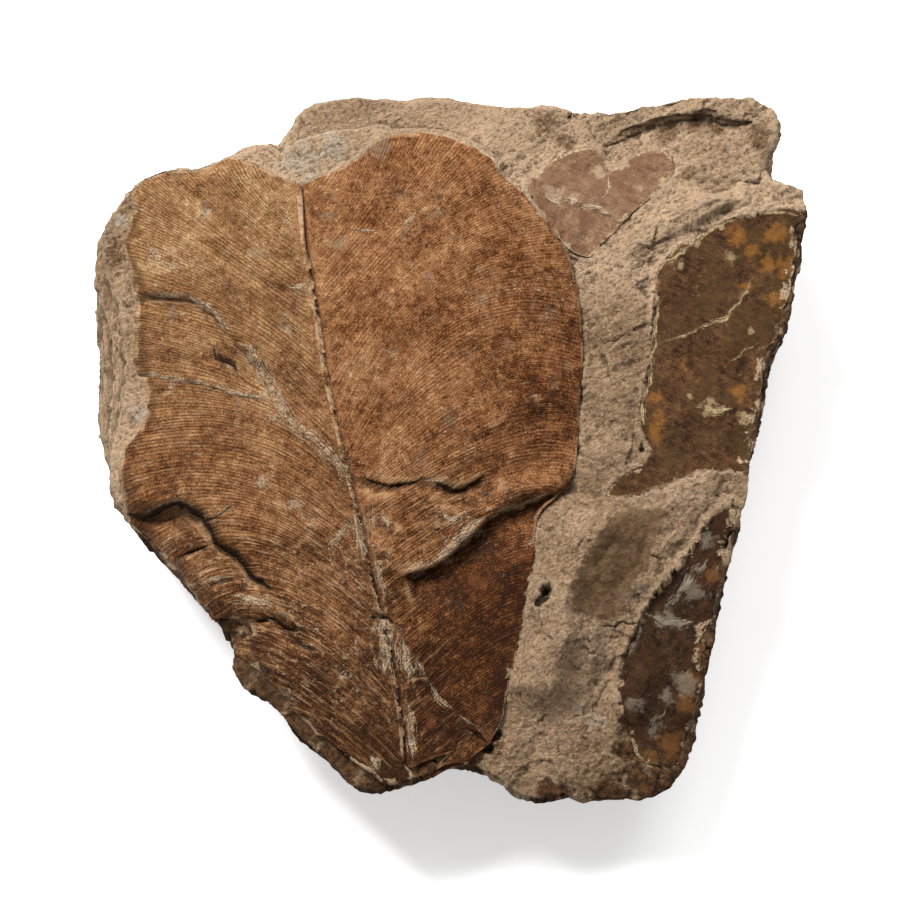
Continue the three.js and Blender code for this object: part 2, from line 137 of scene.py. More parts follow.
# Guide veins: y where the vein leaves the midrib, a place half-way along, and its end past the margin
LEFT_VEINS = [
    (65, (-38.5, 66.2), (-39.7, 67.4)), (57.5, (-43, 63.7), (-48, 71.5)),
    (51.2, (-48.7, 61.7), (-56, 72)), (45, (-52.5, 58.7), (-63.5, 69.5)),
    (36.2, (-57.5, 52.5), (-77, 68)), (28.7, (-57.5, 47), (-81.5, 59.5)), (20, (-57.5, 40), (-83, 51.5)),
    (8.7, (-50, 26.2), (-81, 35.5)), (-2.5, (-50, 16.2), (-81, 26.5)), (-7.5, (-47.5, 11.2), (-79, 16.6)),
    (-13.7, (-47.5, 5), (-80, 5)), (-20, (-50, -2.5), (-84, -3.7)), (-30, (-52.5, -10), (-83, -14)),
    (-37.5, (-47.5, -17.5), (-76, -21.5)), (-47.5, (-45, -27.5), (-70, -32.5)),
    (-60, (-41.2, -37.5), (-62, -41.5)), (-70, (-32, -52), (-52, -42.5)),
    (-80, (-29, -63.5), (-50, -51.5)), (-90, (-25.5, -73.5), (-45.5, -61.5)),
    (-100, (-22, -84), (-38.5, -71)), (-107, (-17, -94), (-28.5, -81)),
]
RIGHT_VEINS = [
    (65, (-36, 66.5), (-34.3, 67.9)), (57.5, (-32, 64.2), (-27, 70.8)),
    (47.5, (-23.7, 62.5), (-17.5, 80.5)), (40, (-17.5, 61.2), (-6, 81)), (32.5, (-11.2, 57), (8, 76.5)),
    (23.7, (-7.5, 52.5), (18, 67.5)), (16.2, (-6.2, 46.2), (24, 60.5)), (5, (-2.5, 38.7), (32, 49.5)),
    (-3.7, (2.5, 31.2), (35.5, 32.5)), (-7.5, (7.5, 22), (36, 20.5)), (-12.5, (12.5, 12), (35.5, 12)),
    (-17.5, (15, 2), (34.5, 1)), (-27.5, (12.5, -8), (33, -7.5)), (-37.5, (7.5, -20), (26, -14)),
    (-47.5, (7.5, -30.5), (23, -25.5)), (-60, (7.5, -42.5), (21, -38)), (-70, (7.5, -55), (19, -49.5)),
    (-80, (5, -66.2), (16, -60)), (-92.5, (5, -76.2), (15, -70)), (-102.5, (5, -85), (12.5, -77.5)),
]

# Broken edges of the large leaf. The film drops on the right-hand side of a line: (line, drop, reach, lip)
PANEL_EDGE = [
    (-78, 38.7), (-68, 38), (-63.7, 37), (-61.2, 34.5), (-57, 31.2), (-53.7, 27.5), (-51.7, 24.5),
    (-47, 19),
]
WHITE_CRACK = [(-46.2, 12), (-50, 12.5), (-55, 14), (-62.5, 16), (-67.5, 17), (-72.5, 18), (-79, 18.2)]
FAULT = [
    (-81, -15.5), (-75, -16.7), (-72.5, -15.7), (-68.7, -14.4), (-65, -14.8), (-61.2, -17.6),
    (-59.5, -20), (-57.5, -23.2), (-55.5, -25), (-52.5, -27), (-50.5, -29.5), (-48, -32.5), (-45, -35),
]
CREASE = [(-22, -7.5), (-18.7, -9), (-15, -9.6), (-12.5, -9.7), (-9.5, -8.9), (-6.2, -7.9)]
SECOND_CREASE = [(-4, -9), (-1, -10), (3, -10.3), (6, -8.8), (9, -6.8)]
PALE_RIM = [
    (-11.5, -32.2), (-7.5, -31), (-4, -29.8), (-0.7, -28), (2.2, -25), (5.5, -21.5), (9.5, -17.8),
    (12.5, -16), (18.7, -14), (26, -10.7), (31, -8),
]
LEAF_EDGES = [
    (PANEL_EDGE, 0.7, 7, 0.25), (WHITE_CRACK[::-1], 0.45, 5, 0.2), (FAULT, 2.4, 6, 0.3),
    (CREASE, 0.9, 3, 0.35), (SECOND_CREASE, 0.8, 3, 0.35), (PALE_RIM, 2.3, 10, 0.2),
    ([(-68, -27), (-63.7, -25.5), (-58.7, -23.2)], 0.6, 3, 0.1),
    ([(-66, -35), (-61, -33.6), (-56.2, -33), (-53, -33)], 0.7, 4, 0.15),
    ([(-49.5, -43), (-43.7, -42.8), (-39.5, -44.5), (-35, -45)], 0.8, 4, 0.1),
]
# Soft folds of the large leaf: (line, rise, width)
LEAF_FOLDS = [
    ([(-22.5, -13.4), (-17.5, -13.4), (-12.5, -12), (-5.5, -8.6)], 0.9, 1.8),
    ([(10, -12), (17, -10.7), (24.5, -8.7), (30.5, -6)], 1.6, 2.6),
    ([(7.5, 2.5), (15, 7.5), (22.5, 12.5), (30, 16.7)], 0.9, 3),
    ([(12.5, -2.5), (22.5, 2.5), (32.5, 6.2)], 0.9, 2.6), ([(-3, -14), (3, -17), (7, -13.5)], 0.5, 1.5),
    ([(-52.5, 26.2), (-47.5, 21), (-42.5, 10.5), (-37.5, 4.5), (-32.5, 0), (-27.5, -5)], 0.45, 1.0),
]
# Cracks of the large leaf, painted dark for the shade in them and under its overhanging broken edges, and
# its pale fibres: (line, half width)
LEAF_CRACKS = [
    (FAULT, 1.0), (CREASE, 0.45), (SECOND_CREASE, 0.5),
    ([(-61.2, -18), (-58.2, -17.7), (-55, -15.7), (-52.5, -14.2)], 0.4),
    ([(-68, -27), (-63.7, -25.5), (-58.7, -23.2)], 0.4),
    ([(-49.5, -43), (-43.7, -42.8), (-39.5, -44.5), (-35, -45)], 0.7),
    ([(-52.5, -27), (-49, -31), (-46, -34), (-42, -37)], 0.7),
    ([(-40, -46), (-36.5, -49), (-33, -50.5)], 0.9), ([(4, -69), (9.5, -73)], 0.9),
    ([(-41, -57.5), (-37.5, -58.5)], 0.6), ([(-60, 26), (-57.5, 22.5), (-54, 21.5), (-52.5, 18)], 0.9),
    ([(-47, 22), (-44, 17)], 0.5), ([(-22, -43), (-15.5, -42), (-13, -44.5)], 0.5),
    ([(-10.2, -80), (-4, -79)], 0.9), ([(-34, -76), (-29, -79.5)], 0.7),
]
LEAF_FIBRES = [
    (WHITE_CRACK, 0.35),
    ([(-76, 39), (-70, 38.8), (-65, 38.2), (-61.5, 35.6), (-57, 32), (-53.5, 28.2)], 0.35),
    ([(-52.5, 26.2), (-47.5, 21), (-42.5, 10.5), (-37.5, 4.5), (-32.5, 0), (-27.5, -5), (-24.5, -10)], 0.9),
    ([(-50.5, 25.5), (-44, 14), (-39.5, 8)], 0.6), ([(-12, -31.6), (-8.3, -30.2), (-4.3, -28.9)], 1.2),
    ([(-4.3, -28.9), (-1.2, -27), (1.7, -23.9), (5, -20.4), (8.8, -17.2)], 1.2),
    ([(9.2, -17.9), (12.5, -15.9), (18.7, -13.8), (26, -10.5)], 0.35),
    ([(-71, -33.7), (-61, -33.2), (-56.5, -32.4), (-53, -32.6)], 0.4),
    ([(-77, -15.8), (-72.5, -15), (-68.7, -13.8), (-65, -14.1), (-61.5, -16.6)], 0.3),
    ([(-60.5, -17.4), (-57, -16.5), (-54, -14.4)], 0.3), ([(-40.5, 39.2), (-37, 40), (-34.5, 42)], 0.6),
    ([(-24, -16), (-22.3, -20), (-21.5, -28)], 0.8), ([(-19.5, -14.5), (-18.7, -21)], 0.6),
    ([(-16.5, -14.5), (-15, -21.5)], 0.6), ([(-18.5, -28), (-16.5, -37.5)], 0.7),
    ([(-17, -41), (-15.8, -48), (-16.3, -57)], 1.5), ([(-11.5, -48), (-10.5, -53), (-10.3, -58)], 1.0),
    ([(-10.3, -63), (-9.6, -70), (-9.4, -77)], 1.0), ([(-25.5, 54.7), (-21, 54.2), (-17.5, 54.8)], 0.4),
    ([(-12.5, 55), (-9.5, 57), (-7.5, 59.5)], 0.5), ([(-16.7, 24), (-13, 24)], 0.4),
    ([(-8.7, -52), (-6.5, -56.5)], 0.5), ([(-5.5, -58), (-2.5, -62.5), (0.5, -65)], 0.45),
    ([(2, -66), (7, -69)], 0.4), ([(-7, -8.6), (-3, -8.8), (1, -9.2)], 0.5),
    ([(-4, -16), (1, -19), (4, -15)], 0.5), ([(-46, -11), (-48, -9)], 0.9),
    ([(-37.5, -15.5), (-36, -19)], 0.8), ([(-31, -25), (-25, -20), (-22.5, -19)], 0.5),
    ([(-50.5, -53), (-46, -56)], 1.3), ([(-54, -37), (-48, -38.5), (-42, -40)], 0.7),
    ([(-20, -75.5), (-17.5, -80)], 1.8), ([(-29, 65), (-28, 61)], 0.35),
    ([(12, 72.5), (18, 65.6), (24, 58)], 0.3),
]
# Pits of the large leaf, painted dark for the shade in them, and grey crumbs: (x, y, radius)
LEAF_PITS = [
    (-59.2, 27, 0.8), (-58.5, 22.2, 0.9), (-55, 20.7, 1.1), (-52.5, 17.5, 0.8), (-70.5, 13.5, 1.2),
    (-65.7, 61.5, 0.5), (-62, 65, 0.6), (-51.5, 55.7, 0.8), (-50.5, 47.5, 0.9), (-55, 63, 0.6),
    (-33, 13, 0.5), (-26.5, 25.7, 0.45), (-25.7, 10.7, 0.5), (8.7, -11.7, 1.1), (-45.5, 61, 0.5),
    (-71, 35, 0.4), (-40.5, 29.5, 1.5), (-60.4, 59, 1.4), (-20, 56, 0.5), (-3, 62.5, 0.9), (-14, 47, 0.5),
    (3, 49, 0.4), (-64, 6, 0.4), (-44, -5, 0.6), (-37, -27, 0.6), (-15, -57, 0.6), (-5, -57.5, 0.7),
    (3, -28, 0.6), (-23, -60, 0.8), (-28, -55, 0.8), (-36, -70, 0.7), (-19, -65, 0.6), (-3, 30, 0.4),
]
# Pale crusts of the large leaf: (x, y, radius)
LEAF_CRUSTS = [
    (-72.5, 48, 3.2), (-69, 45.5, 2), (-41.4, 56.8, 1.4), (-70, 16, 2), (-47, 13.5, 2.2), (-45, 7, 1.6),
    (-47, -8.5, 2), (-38, -15, 2), (-34.5, -20, 2), (-26, -20, 2.2), (-29, -31, 1.6), (22, 45, 1.4),
    (17, 41, 1.6), (21, -24, 1.8), (-50, -33, 2), (-23, -50, 1.6), (-27, -57, 1.6), (-40, -60, 1.8),
]
# Where the large leaf is lighter (1) or darker (0): (x, y, tone)
LEAF_TONES = [
    (-56, 51, 0.72), (-69, 27, 0.6), (-60, -4, 0.58), (-40, 30, 0.66), (-45, 8, 0.68), (0, 59, 0.58),
    (-12, 22, 0.62), (-12, 40, 0.6), (21, 27, 0.44), (29, 12, 0.36), (10, 45, 0.54), (-10, -2, 0.6),
    (-5, -18, 0.48), (12, -42, 0.12), (4, -34, 0.14), (-31, -62, 0.26), (0, -52, 0.14), (-45, -20, 0.58),
    (-30, -30, 0.5), (-20, -18, 0.56), (-60, -27, 0.55), (-48, -38, 0.48), (3, -76, 0.2), (20, -10, 0.56),
    (-22, -75, 0.12), (-76, 52, 0.7), (-14, -62, 0.26), (-5, -62, 0.16), (-10, -78, 0.1),
    (-38, -50, 0.36), (-44, -28, 0.5), (-60, -12, 0.56),
]
# Where the large leaf is splintered (1) or whole (0): (x, y, share)
LEAF_ROUGH = [
    (-55, 50, 0.1), (-60, 10, 0.15), (-10, 45, 0.1), (15, 20, 0.1), (-45, 10, 0.3), (-30, 0, 0.5),
    (-12, 5, 0.2), (0, -18, 0.9), (12, -42, 0.3), (-18, -30, 1.0), (-35, -30, 0.7), (-60, -28, 0.7),
    (-48, -42, 0.9), (-30, -62, 0.9), (-12, -60, 1.0), (0, -72, 0.6), (22, -8, 0.4), (-30, 55, 0.2),
    (-52, -8, 0.3), (-7, -50, 0.8), (6, -38, 0.05), (14, -30, 0.05), (5, -48, 0.1), (14, -52, 0.1),
    (9, -60, 0.15),
]

# Left and upper rim of the film on the right, where the stone stands a little proud, and by how much
RIM_LIP = 0.25
RIGHT_LEAF_RIM = [
    (48.5, 5), (48.3, 8.2), (48.7, 14), (49.7, 16.7), (50.7, 21.5), (50.5, 25.7), (51.3, 34), (51.2, 43),
    (54, 46.5), (61.7, 52.2), (67.5, 56.5), (72.7, 58.7), (79.7, 59), (84, 60), (88, 58.5),
]
# Ridges of the stone that fall away to the right-hand side: (line, drop, reach)
STONE_RIDGES = [
    ([(60, 67.3), (66, 68), (73.5, 68.5)], 2.2, 2.5),
    ([(46, 80), (53, 82.5), (60, 84), (68, 85.3), (73, 84.5)], 0.6, 3),
    ([(30, 79), (36, 77.5), (45, 78.5), (55, 77), (62, 75)], 0.8, 3),
    ([(44.5, -23.2), (40, -28), (35, -34)], 1.1, 2), ([(67, -17), (62, -24), (55, -33)], 1.6, 3),
    ([(36, 40), (40, 28), (44, 20)], 1.1, 4), ([(42, 44), (50, 52), (60, 58), (72, 64)], 1.0, 4),
    ([(46, -52), (42, -62), (40, -74)], 1.6, 5), ([(34, -48), (38, -58), (36, -70)], 1.4, 5),
    ([(38, 18), (41, 8), (40, -3)], 1.2, 4),
]
# Crests of the stone: (line, rise, width of the slope on its left and on its right)
STONE_CRESTS = [
    ([(22, -66), (26, -54), (28.5, -45), (28.7, -40.5), (31, -34.2), (34.7, -26), (38.7, -19.7),
        (41, -12)], 5.5, 14, 11),
    ([(38, -78), (43, -62), (46.5, -48), (49.5, -39), (55.5, -29), (61.5, -21), (67, -13)], 1.5, 6, 2.5),
    ([(38, -13.5), (42, -12.6), (51, -8.7), (62.7, -6), (74.5, -3.5)], 2.0, 3, 12),
    ([(14, -64), (20, -57), (27, -52), (36, -46)], 1.6, 5, 8),
    ([(38, 42), (47, 51), (58, 58.5), (72, 66)], 1.6, 7, 9),
]
# Cracks and grooves of the stone, painted dark for the shade in them: (line, half width)
STONE_CRACKS = [
    ([(36, -44.2), (41.5, -43.2), (48.2, -41.7)], 0.25), ([(37.5, 25), (41, 27), (45, 28.7)], 0.2),
    ([(49.5, -26.7), (53.5, -27.5)], 0.4), ([(-84, 30), (-82.5, 20), (-83.5, 10), (-85, 0)], 0.4),
    ([(-83, 33), (-81.7, 24), (-82, 14)], 0.3), ([(29, -18), (27.7, -22)], 0.3),
]
# Pits of the stone, painted near black for the shade in them: (x, y, radius)
STONE_PITS = [
    (24.6, -37, 1.5), (23.8, -37.6, 1.8), (22.7, -38.3, 1.6), (10.5, -70.5, 3), (9.5, -74, 2.6),
    (48, 0.6, 1),
]
# Where the stone is lighter (1) or darker (0): (x, y, tone)
STONE_TONES = [
    (42, 29, 0.42), (40, 5, 0.46), (52.5, 56, 0.9), (72, 62.5, 1.0), (32, -60, 0.6), (57, -14, 0.75),
    (41, -33, 0.4), (32.5, -17, 0.55), (-25, 83, 0.55), (6, 80.5, 0.8), (65, 72.5, 0.7), (-84, 4, 0.75),
    (-33, 72, 0.9), (22, 70, 0.8), (30, -45, 0.62), (45, -75, 0.4), (48, 44, 0.85), (-82, 50, 0.5),
    (-62, 72, 0.85),
]
# Stains of the stone: (x, y, radius) of brown patches, of whitish crusts, and of painted shade, dark and
# mottled rust-brown, along the front and the right of the slab, whose undercut edges lie in shade
STONE_STAINS = [
    (24, 83, 4), (28, 78, 3), (67, 83, 3), (61, 82, 3), (54, 80.5, 3), (60, 69, 3), (78, 78, 5),
    (80, 74, 5), (10, -74, 5), (-84, 50, 5), (25, 61, 3), (27.5, 55, 3.5), (31, 49, 3), (27, 66, 2.5),
    (44, 60, 2),
]
STONE_CRUSTS = [
    (44.5, -38, 3.4), (47, -35, 2.4), (50, -50, 3), (36, -67, 4), (33, -64, 3), (52, -60, 4),
    (56, -56, 3), (-76, 8, 4), (-38, 72, 9), (-28, 76, 6), (-82, 58, 3), (62, -35, 4), (-72.5, 47.5, 2.6),
    (58, -32, 3), (46, -58, 3),
]
FRONT_EDGE_SHADE = [
    (-74, -24, 7), (-66, -33, 7), (-58, -42, 7), (-51, -51, 8), (-44, -61, 7), (-38, -70, 7),
    (-28, -79, 7), (-17, -84, 7), (-5, -82, 6), (4, -79, 5), (40, -86, 7), (52, -85, 8), (25, -85, 5),
    (60, -73, 5), (62, -62, 6), (64.5, -52, 6), (67, -42, 6), (69.5, -32, 5), (72, -22, 4), (75, -4, 3),
    (77, 6, 5), (79.5, 16, 5), (82, 25, 5), (85, 35, 5), (87, 45, 5), (88.5, 55, 5), (57, -78, 7),
    (47, -80, 6), (45, -66, 4), (47, -58, 3), (44, -73, 4), (52, -74, 5),
]
# Outline of the smooth brown impression that a lost leaf left in the stone
IMPRESSION = [
    (38.7, -19.7), (43.7, -16.5), (52.7, -13.7), (53.7, -17), (51, -23.7), (48.2, -30.5), (43.7, -40.5),
    (36.5, -43.7), (28.7, -40.5), (31, -34.2), (34.7, -26),
]
# Smooth parts of the stone: the bench at the back and the hollow at the front: (x, y, radius)
STONE_SMOOTH = [(-25, 86, 12), (-5, 86, 14), (12, 84, 12), (25, -60, 9)]

# Small films: way (x, y) to the side on which they run on and by how much, pale lines (line, half width),
# stains (x, y, radius) and crusts (x, y, radius)
UPPER_SPREAD = (-0.75, -0.66, 2.5)
EDGE_SPREAD = (0.97, -0.25, 2.5)
UPPER_PALE = [
    ([(24, 65.5), (27.5, 63.5), (31, 62.3), (36, 61.5), (41.5, 58.8)], 0.7),
    ([(39.5, 70), (40, 66), (37.5, 63)], 0.4),
]
UPPER_SPOTS = [(31, 55, 6), (34, 58, 5), (28, 59, 4), (37, 60, 3), (32, 50, 4)]
UPPER_CRUSTS = [(26, 66, 3), (30, 63, 2.4), (37, 70, 2.4), (48, 66, 2), (44, 72, 2)]
RIGHT_PALE = [
    (RIGHT_LEAF_RIM, 0.4), ([(52, 26), (65, 31.2), (69.2, 33), (73, 38), (76, 43.5)], 0.35),
    ([(69, 21.5), (73.5, 24.5), (78, 26.7)], 0.3), ([(61, 11), (66, 9.5), (70, 10)], 0.5),
]
RIGHT_SPOTS = [
    (72, 54, 4), (76, 50, 3), (74, 41, 2), (84, 46, 4), (51.5, 13, 2.5), (52, 8, 2.5), (51, 4, 3),
    (58, 21, 2), (82, 54, 4), (72.5, 14, 3), (79, 47, 3), (81, 38, 3),
]
RIGHT_CRUSTS = [
    (71, 48, 2.4), (64, 10.5, 3), (73, 8, 3), (57, 46, 1.6), (62, 52, 1.6), (76, 30, 1.5), (60, 14, 1.6),
]
LOWER_PALE = [
    ([(49.5, -40.5), (54, -43.5), (61, -42)], 0.9), ([(64, -26), (57, -36), (53, -40)], 0.8),
    ([(47, -42), (45.5, -48), (44, -52)], 0.5), ([(53, -63), (49, -69)], 0.5),
]
LOWER_SPOTS = [(62, -50, 4), (59, -62, 4), (55, -72, 5), (60, -56, 3), (66, -30, 3), (50, -75, 4)]
LOWER_CRUSTS = [
    (54, -42, 4), (58, -57, 4), (54, -60, 3), (46, -62, 3), (60, -35, 4), (64, -22, 3), (51, -68, 3),
]


class Shade:
    """One output of a shader node. Arithmetic on it adds Math nodes, and node() adds any other kind."""

    def __init__(self, tree, socket=None):
        self.tree = tree
        self.socket = socket

    def node(self, kind, settings=(), sockets=(), output=0):
        made = self.tree.nodes.new(kind)
        for key, value in dict(settings).items():
            if key == "stops":
                ramp = made.color_ramp
                while len(ramp.elements) < len(value):
                    ramp.elements.new(0.5)
                for element, (position, shown) in zip(ramp.elements, value):
                    element.position = position
                    element.color = shown
            else:
                setattr(made, key, value)
        for key, value in dict(sockets).items():
            if isinstance(value, Shade):
                self.tree.links.new(value.socket, made.inputs[key])
            else:
                made.inputs[key].default_value = value
        return Shade(self.tree, made.outputs[output] if made.outputs else None)

    def math(self, operation, *values):
        return self.node("ShaderNodeMath", {"operation": operation}, dict(enumerate(values)))

    def __add__(self, other):
        return self.math("ADD", self, other)

    __radd__ = __add__

    def __sub__(self, other):
        return self.math("SUBTRACT", self, other)

    def __rsub__(self, other):
        return self.math("SUBTRACT", other, self)

    def __mul__(self, other):
        return self.math("MULTIPLY", self, other)

    __rmul__ = __mul__

    def __abs__(self):
        return self.math("ABSOLUTE", self)

    def between(self, low, high):
        """0 below low, 1 above high, smooth between them."""
        settings = {"interpolation_type": "SMOOTHSTEP", "clamp": True}
        return self.node("ShaderNodeMapRange", settings, {"Value": self, "From Min": low, "From Max": high})

    def outside(self, low, high):
        """1 below low, 0 above high, smooth between them."""
        return 1 - self.between(low, high)

    def mix(self, under, over):
        """Colour under where this is 0, and over where it is 1."""
        settings = {"data_type": "RGBA", "clamp_factor": True}
        return self.node("ShaderNodeMix", settings, {0: self, 6: under, 7: over}, 2)

    def ramp(self, *stops):
        """Colour along a row of (value, colour) stops."""
        return self.node("ShaderNodeValToRGB", {"stops": stops}, {"Fac": self})

    def attribute(self, name):
        return self.node("ShaderNodeAttribute", {"attribute_name": name}, output="Fac")

    def position(self, stretch=(1, 1, 1), turn=0.0):
        """Object coordinates in millimetres, turned about +Z and then stretched along the axes."""
        point = self.node("ShaderNodeTexCoord", output="Object")
        settings = {"vector_type": "POINT"}
        turned = self.node("ShaderNodeMapping", settings, {"Vector": point, "Rotation": (0, 0, turn)})
        scale = tuple(value / MM for value in stretch)
        return self.node("ShaderNodeMapping", settings, {"Vector": turned, "Scale": scale})

    def noise(self, size, detail=3.0, roughness=0.55, distortion=0.0):
        """Cloudy values about 0.5, with clouds of this size in the units of this vector."""
        sockets = {"Vector": self, "Scale": 1 / size, "Detail": detail, "Roughness": roughness,
                   "Distortion": distortion}
        return self.node("ShaderNodeTexNoise", {"noise_dimensions": "3D"}, sockets, "Fac")

    def cells(self, size, output="Distance"):
        """Distance from the middle of the nearest cell, or the cell's own random colour."""
        sockets = {"Vector": self, "Scale": 1 / size}
        return self.node("ShaderNodeTexVoronoi", {"feature": "F1"}, sockets, output)

    def grey(self):
        """One random value out of a random colour."""
        return self.node("ShaderNodeSeparateColor", {}, {0: self})

    def along(self, other, third=0.0):
        """A vector with this value, another and a third."""
        return self.node("ShaderNodeCombineXYZ", {}, {0: self, 1: other, 2: third})


def colour(red, green, blue):
    """Surface colour that shows as these 0 to 255 values of a screen in the studio's light."""
    def linear(value):
        share = value / 255
        return (share / 12.92 if share <= 0.04045 else ((share + 0.055) / 1.055) ** 2.4) / BRIGHTNESS
    return (linear(red), linear(green), linear(blue), 1.0)


def new_material(name):
    material = bpy.data.materials.new(name)
    material.use_nodes = True
    material.node_tree.nodes.clear()
    return material, Shade(material.node_tree)


def finish_material(shade, base, roughness, height, bump_depth):
    """Principled surface with a bump of this depth in millimetres."""
    sockets = {"Height": height, "Strength": 1.0, "Distance": bump_depth * MM}
    bump = shade.node("ShaderNodeBump", {}, sockets)
    sockets = {"Base Color": base, "Roughness": roughness, "Normal": bump, "Specular IOR Level": SPECULAR}
    surface = shade.node("ShaderNodeBsdfPrincipled", {}, sockets)
    shade.node("ShaderNodeOutputMaterial", {}, {"Surface": surface})


def strands(shade, name, ragged):
    """1 along the fibrous strands of the lines that a piece keeps in the attributes of this name."""
    offset = shade.attribute(name)
    threads = offset.along(shade.attribute(name + "_run") * 0.15).noise(0.6, 3, 0.7)
    strand = (abs(offset) * 0.6 + ragged + (threads - 0.5) * 7).outside(0.3, 0.9)
    return strand * shade.attribute(name + "_near")


def slit(shade, name, ragged):
    """1 along the middle of the lines that a piece keeps in the attributes of this name."""
    return (abs(shade.attribute(name)) + ragged).outside(0.5, 1.1) * shade.attribute(name + "_near")


def siltstone():
    material, shade = new_material("siltstone")
    point = shade.position()
    hollow = shade.attribute("hollow")
    wall = shade.attribute("wall")
    tone = shade.attribute("tone") + (point.noise(16, 4, 0.6) - 0.5) * 0.9
    base = tone.ramp((0.0, colour(112, 85, 58)), (0.5, colour(164, 133, 101)), (1.0, colour(222, 188, 153)))
    beds = shade.position((0.03, 0.03, 0.8)).noise(1, 4, 0.6)
    base = (wall * beds.between(0.45, 0.7) * 0.7).mix(base, colour(124, 97, 68))
    base = (wall * beds.outside(0.3, 0.42) * 0.6).mix(base, colour(196, 172, 142))
    patch = point.noise(4, 5, 0.65)
    stain = (shade.attribute("stain") + (patch - 0.5) * 1.6).between(0.1, 0.6)
    base = (stain * 0.8).mix(base, colour(114, 82, 52))
    crust = (shade.attribute("crust") + (patch - 0.5) * 3).between(0.25, 0.8)
    base = (crust * 0.55).mix(base, colour(184, 174, 158))
    streak = shade.position((0.45, 1, 0.7), -0.5).noise(0.6, 4, 0.78)
    base = (streak.between(0.5, 0.64) * 0.5).mix(base, colour(232, 201, 168))
    base = (streak.outside(0.36, 0.5) * 0.55).mix(base, colour(98, 73, 49))
    grain = point.cells(0.6, "Color").grey()
    base = (grain.outside(0.0, 0.2) * 0.5).mix(base, colour(76, 60, 44))
    base = (grain.between(0.8, 1.0) * 0.2).mix(base, colour(224, 202, 172))
    # Painted shade in hollows, where the surface lies below its surroundings, and painted highlight on rises
    # and edges
    base = (hollow.between(0.03, 0.25) * 0.55).mix(base, colour(70, 54, 36))
    base = (hollow.outside(-0.25, -0.06) * 0.25).mix(base, colour(216, 192, 162))
    impression = (shade.attribute("impression") + (patch - 0.5) * 9).between(-0.6, 0.6)
    smeared = point.noise(3, 5, 0.7).between(0.38, 0.62)
    base = (impression * 0.7).mix(base, smeared.mix(colour(92, 66, 40), colour(128, 99, 68)))
    # Painted shade along the undercut front and right edges of the slab: dark, mottled rust-brown
    front = (shade.attribute("front") + (patch - 0.5) * 2.4).between(-0.1, 0.4)
    rust = point.noise(1.6, 5, 0.7).between(0.4, 0.62)
    base = (front * 0.9).mix(base, rust.mix(colour(44, 29, 17), colour(116, 76, 44)))
    # Painted shade, darker still, on the walls under those edges
    base = (front * wall * 0.55).mix(base, colour(34, 24, 15))
    ragged = (point.noise(0.8, 3) - 0.5) * 1.8
    # Painted shade in cracks and grooves, and near-black painted shade in pits
    base = (slit(shade, "crack", ragged) * 0.85).mix(base, colour(50, 37, 24))
    pit = (shade.attribute("pit") + ragged * 0.4).between(0.05, 0.45)
    base = (pit * 0.9).mix(base, colour(34, 26, 17))
    height = grain * 0.5 + streak * 1.0 + point.noise(0.4, 3, 0.75) * 1.6
    finish_material(shade, base, 0.95, height, 0.6)
    return material


def vein_lines(shade, vein, pitch):
    """1 along the dark lines of the large leaf, which fork where they spread, so that they keep about 1 mm
    apart."""
    def lines(each):
        return shade.math("COSINE", vein * (2 * math.pi / each)) * 0.5 + 0.5
    wide = pitch.between(1.15, 1.35)
    narrow = pitch.outside(0.52, 0.64)
    return lines(0.5) * wide + lines(1) * (1 - wide) * (1 - narrow) + lines(2) * narrow


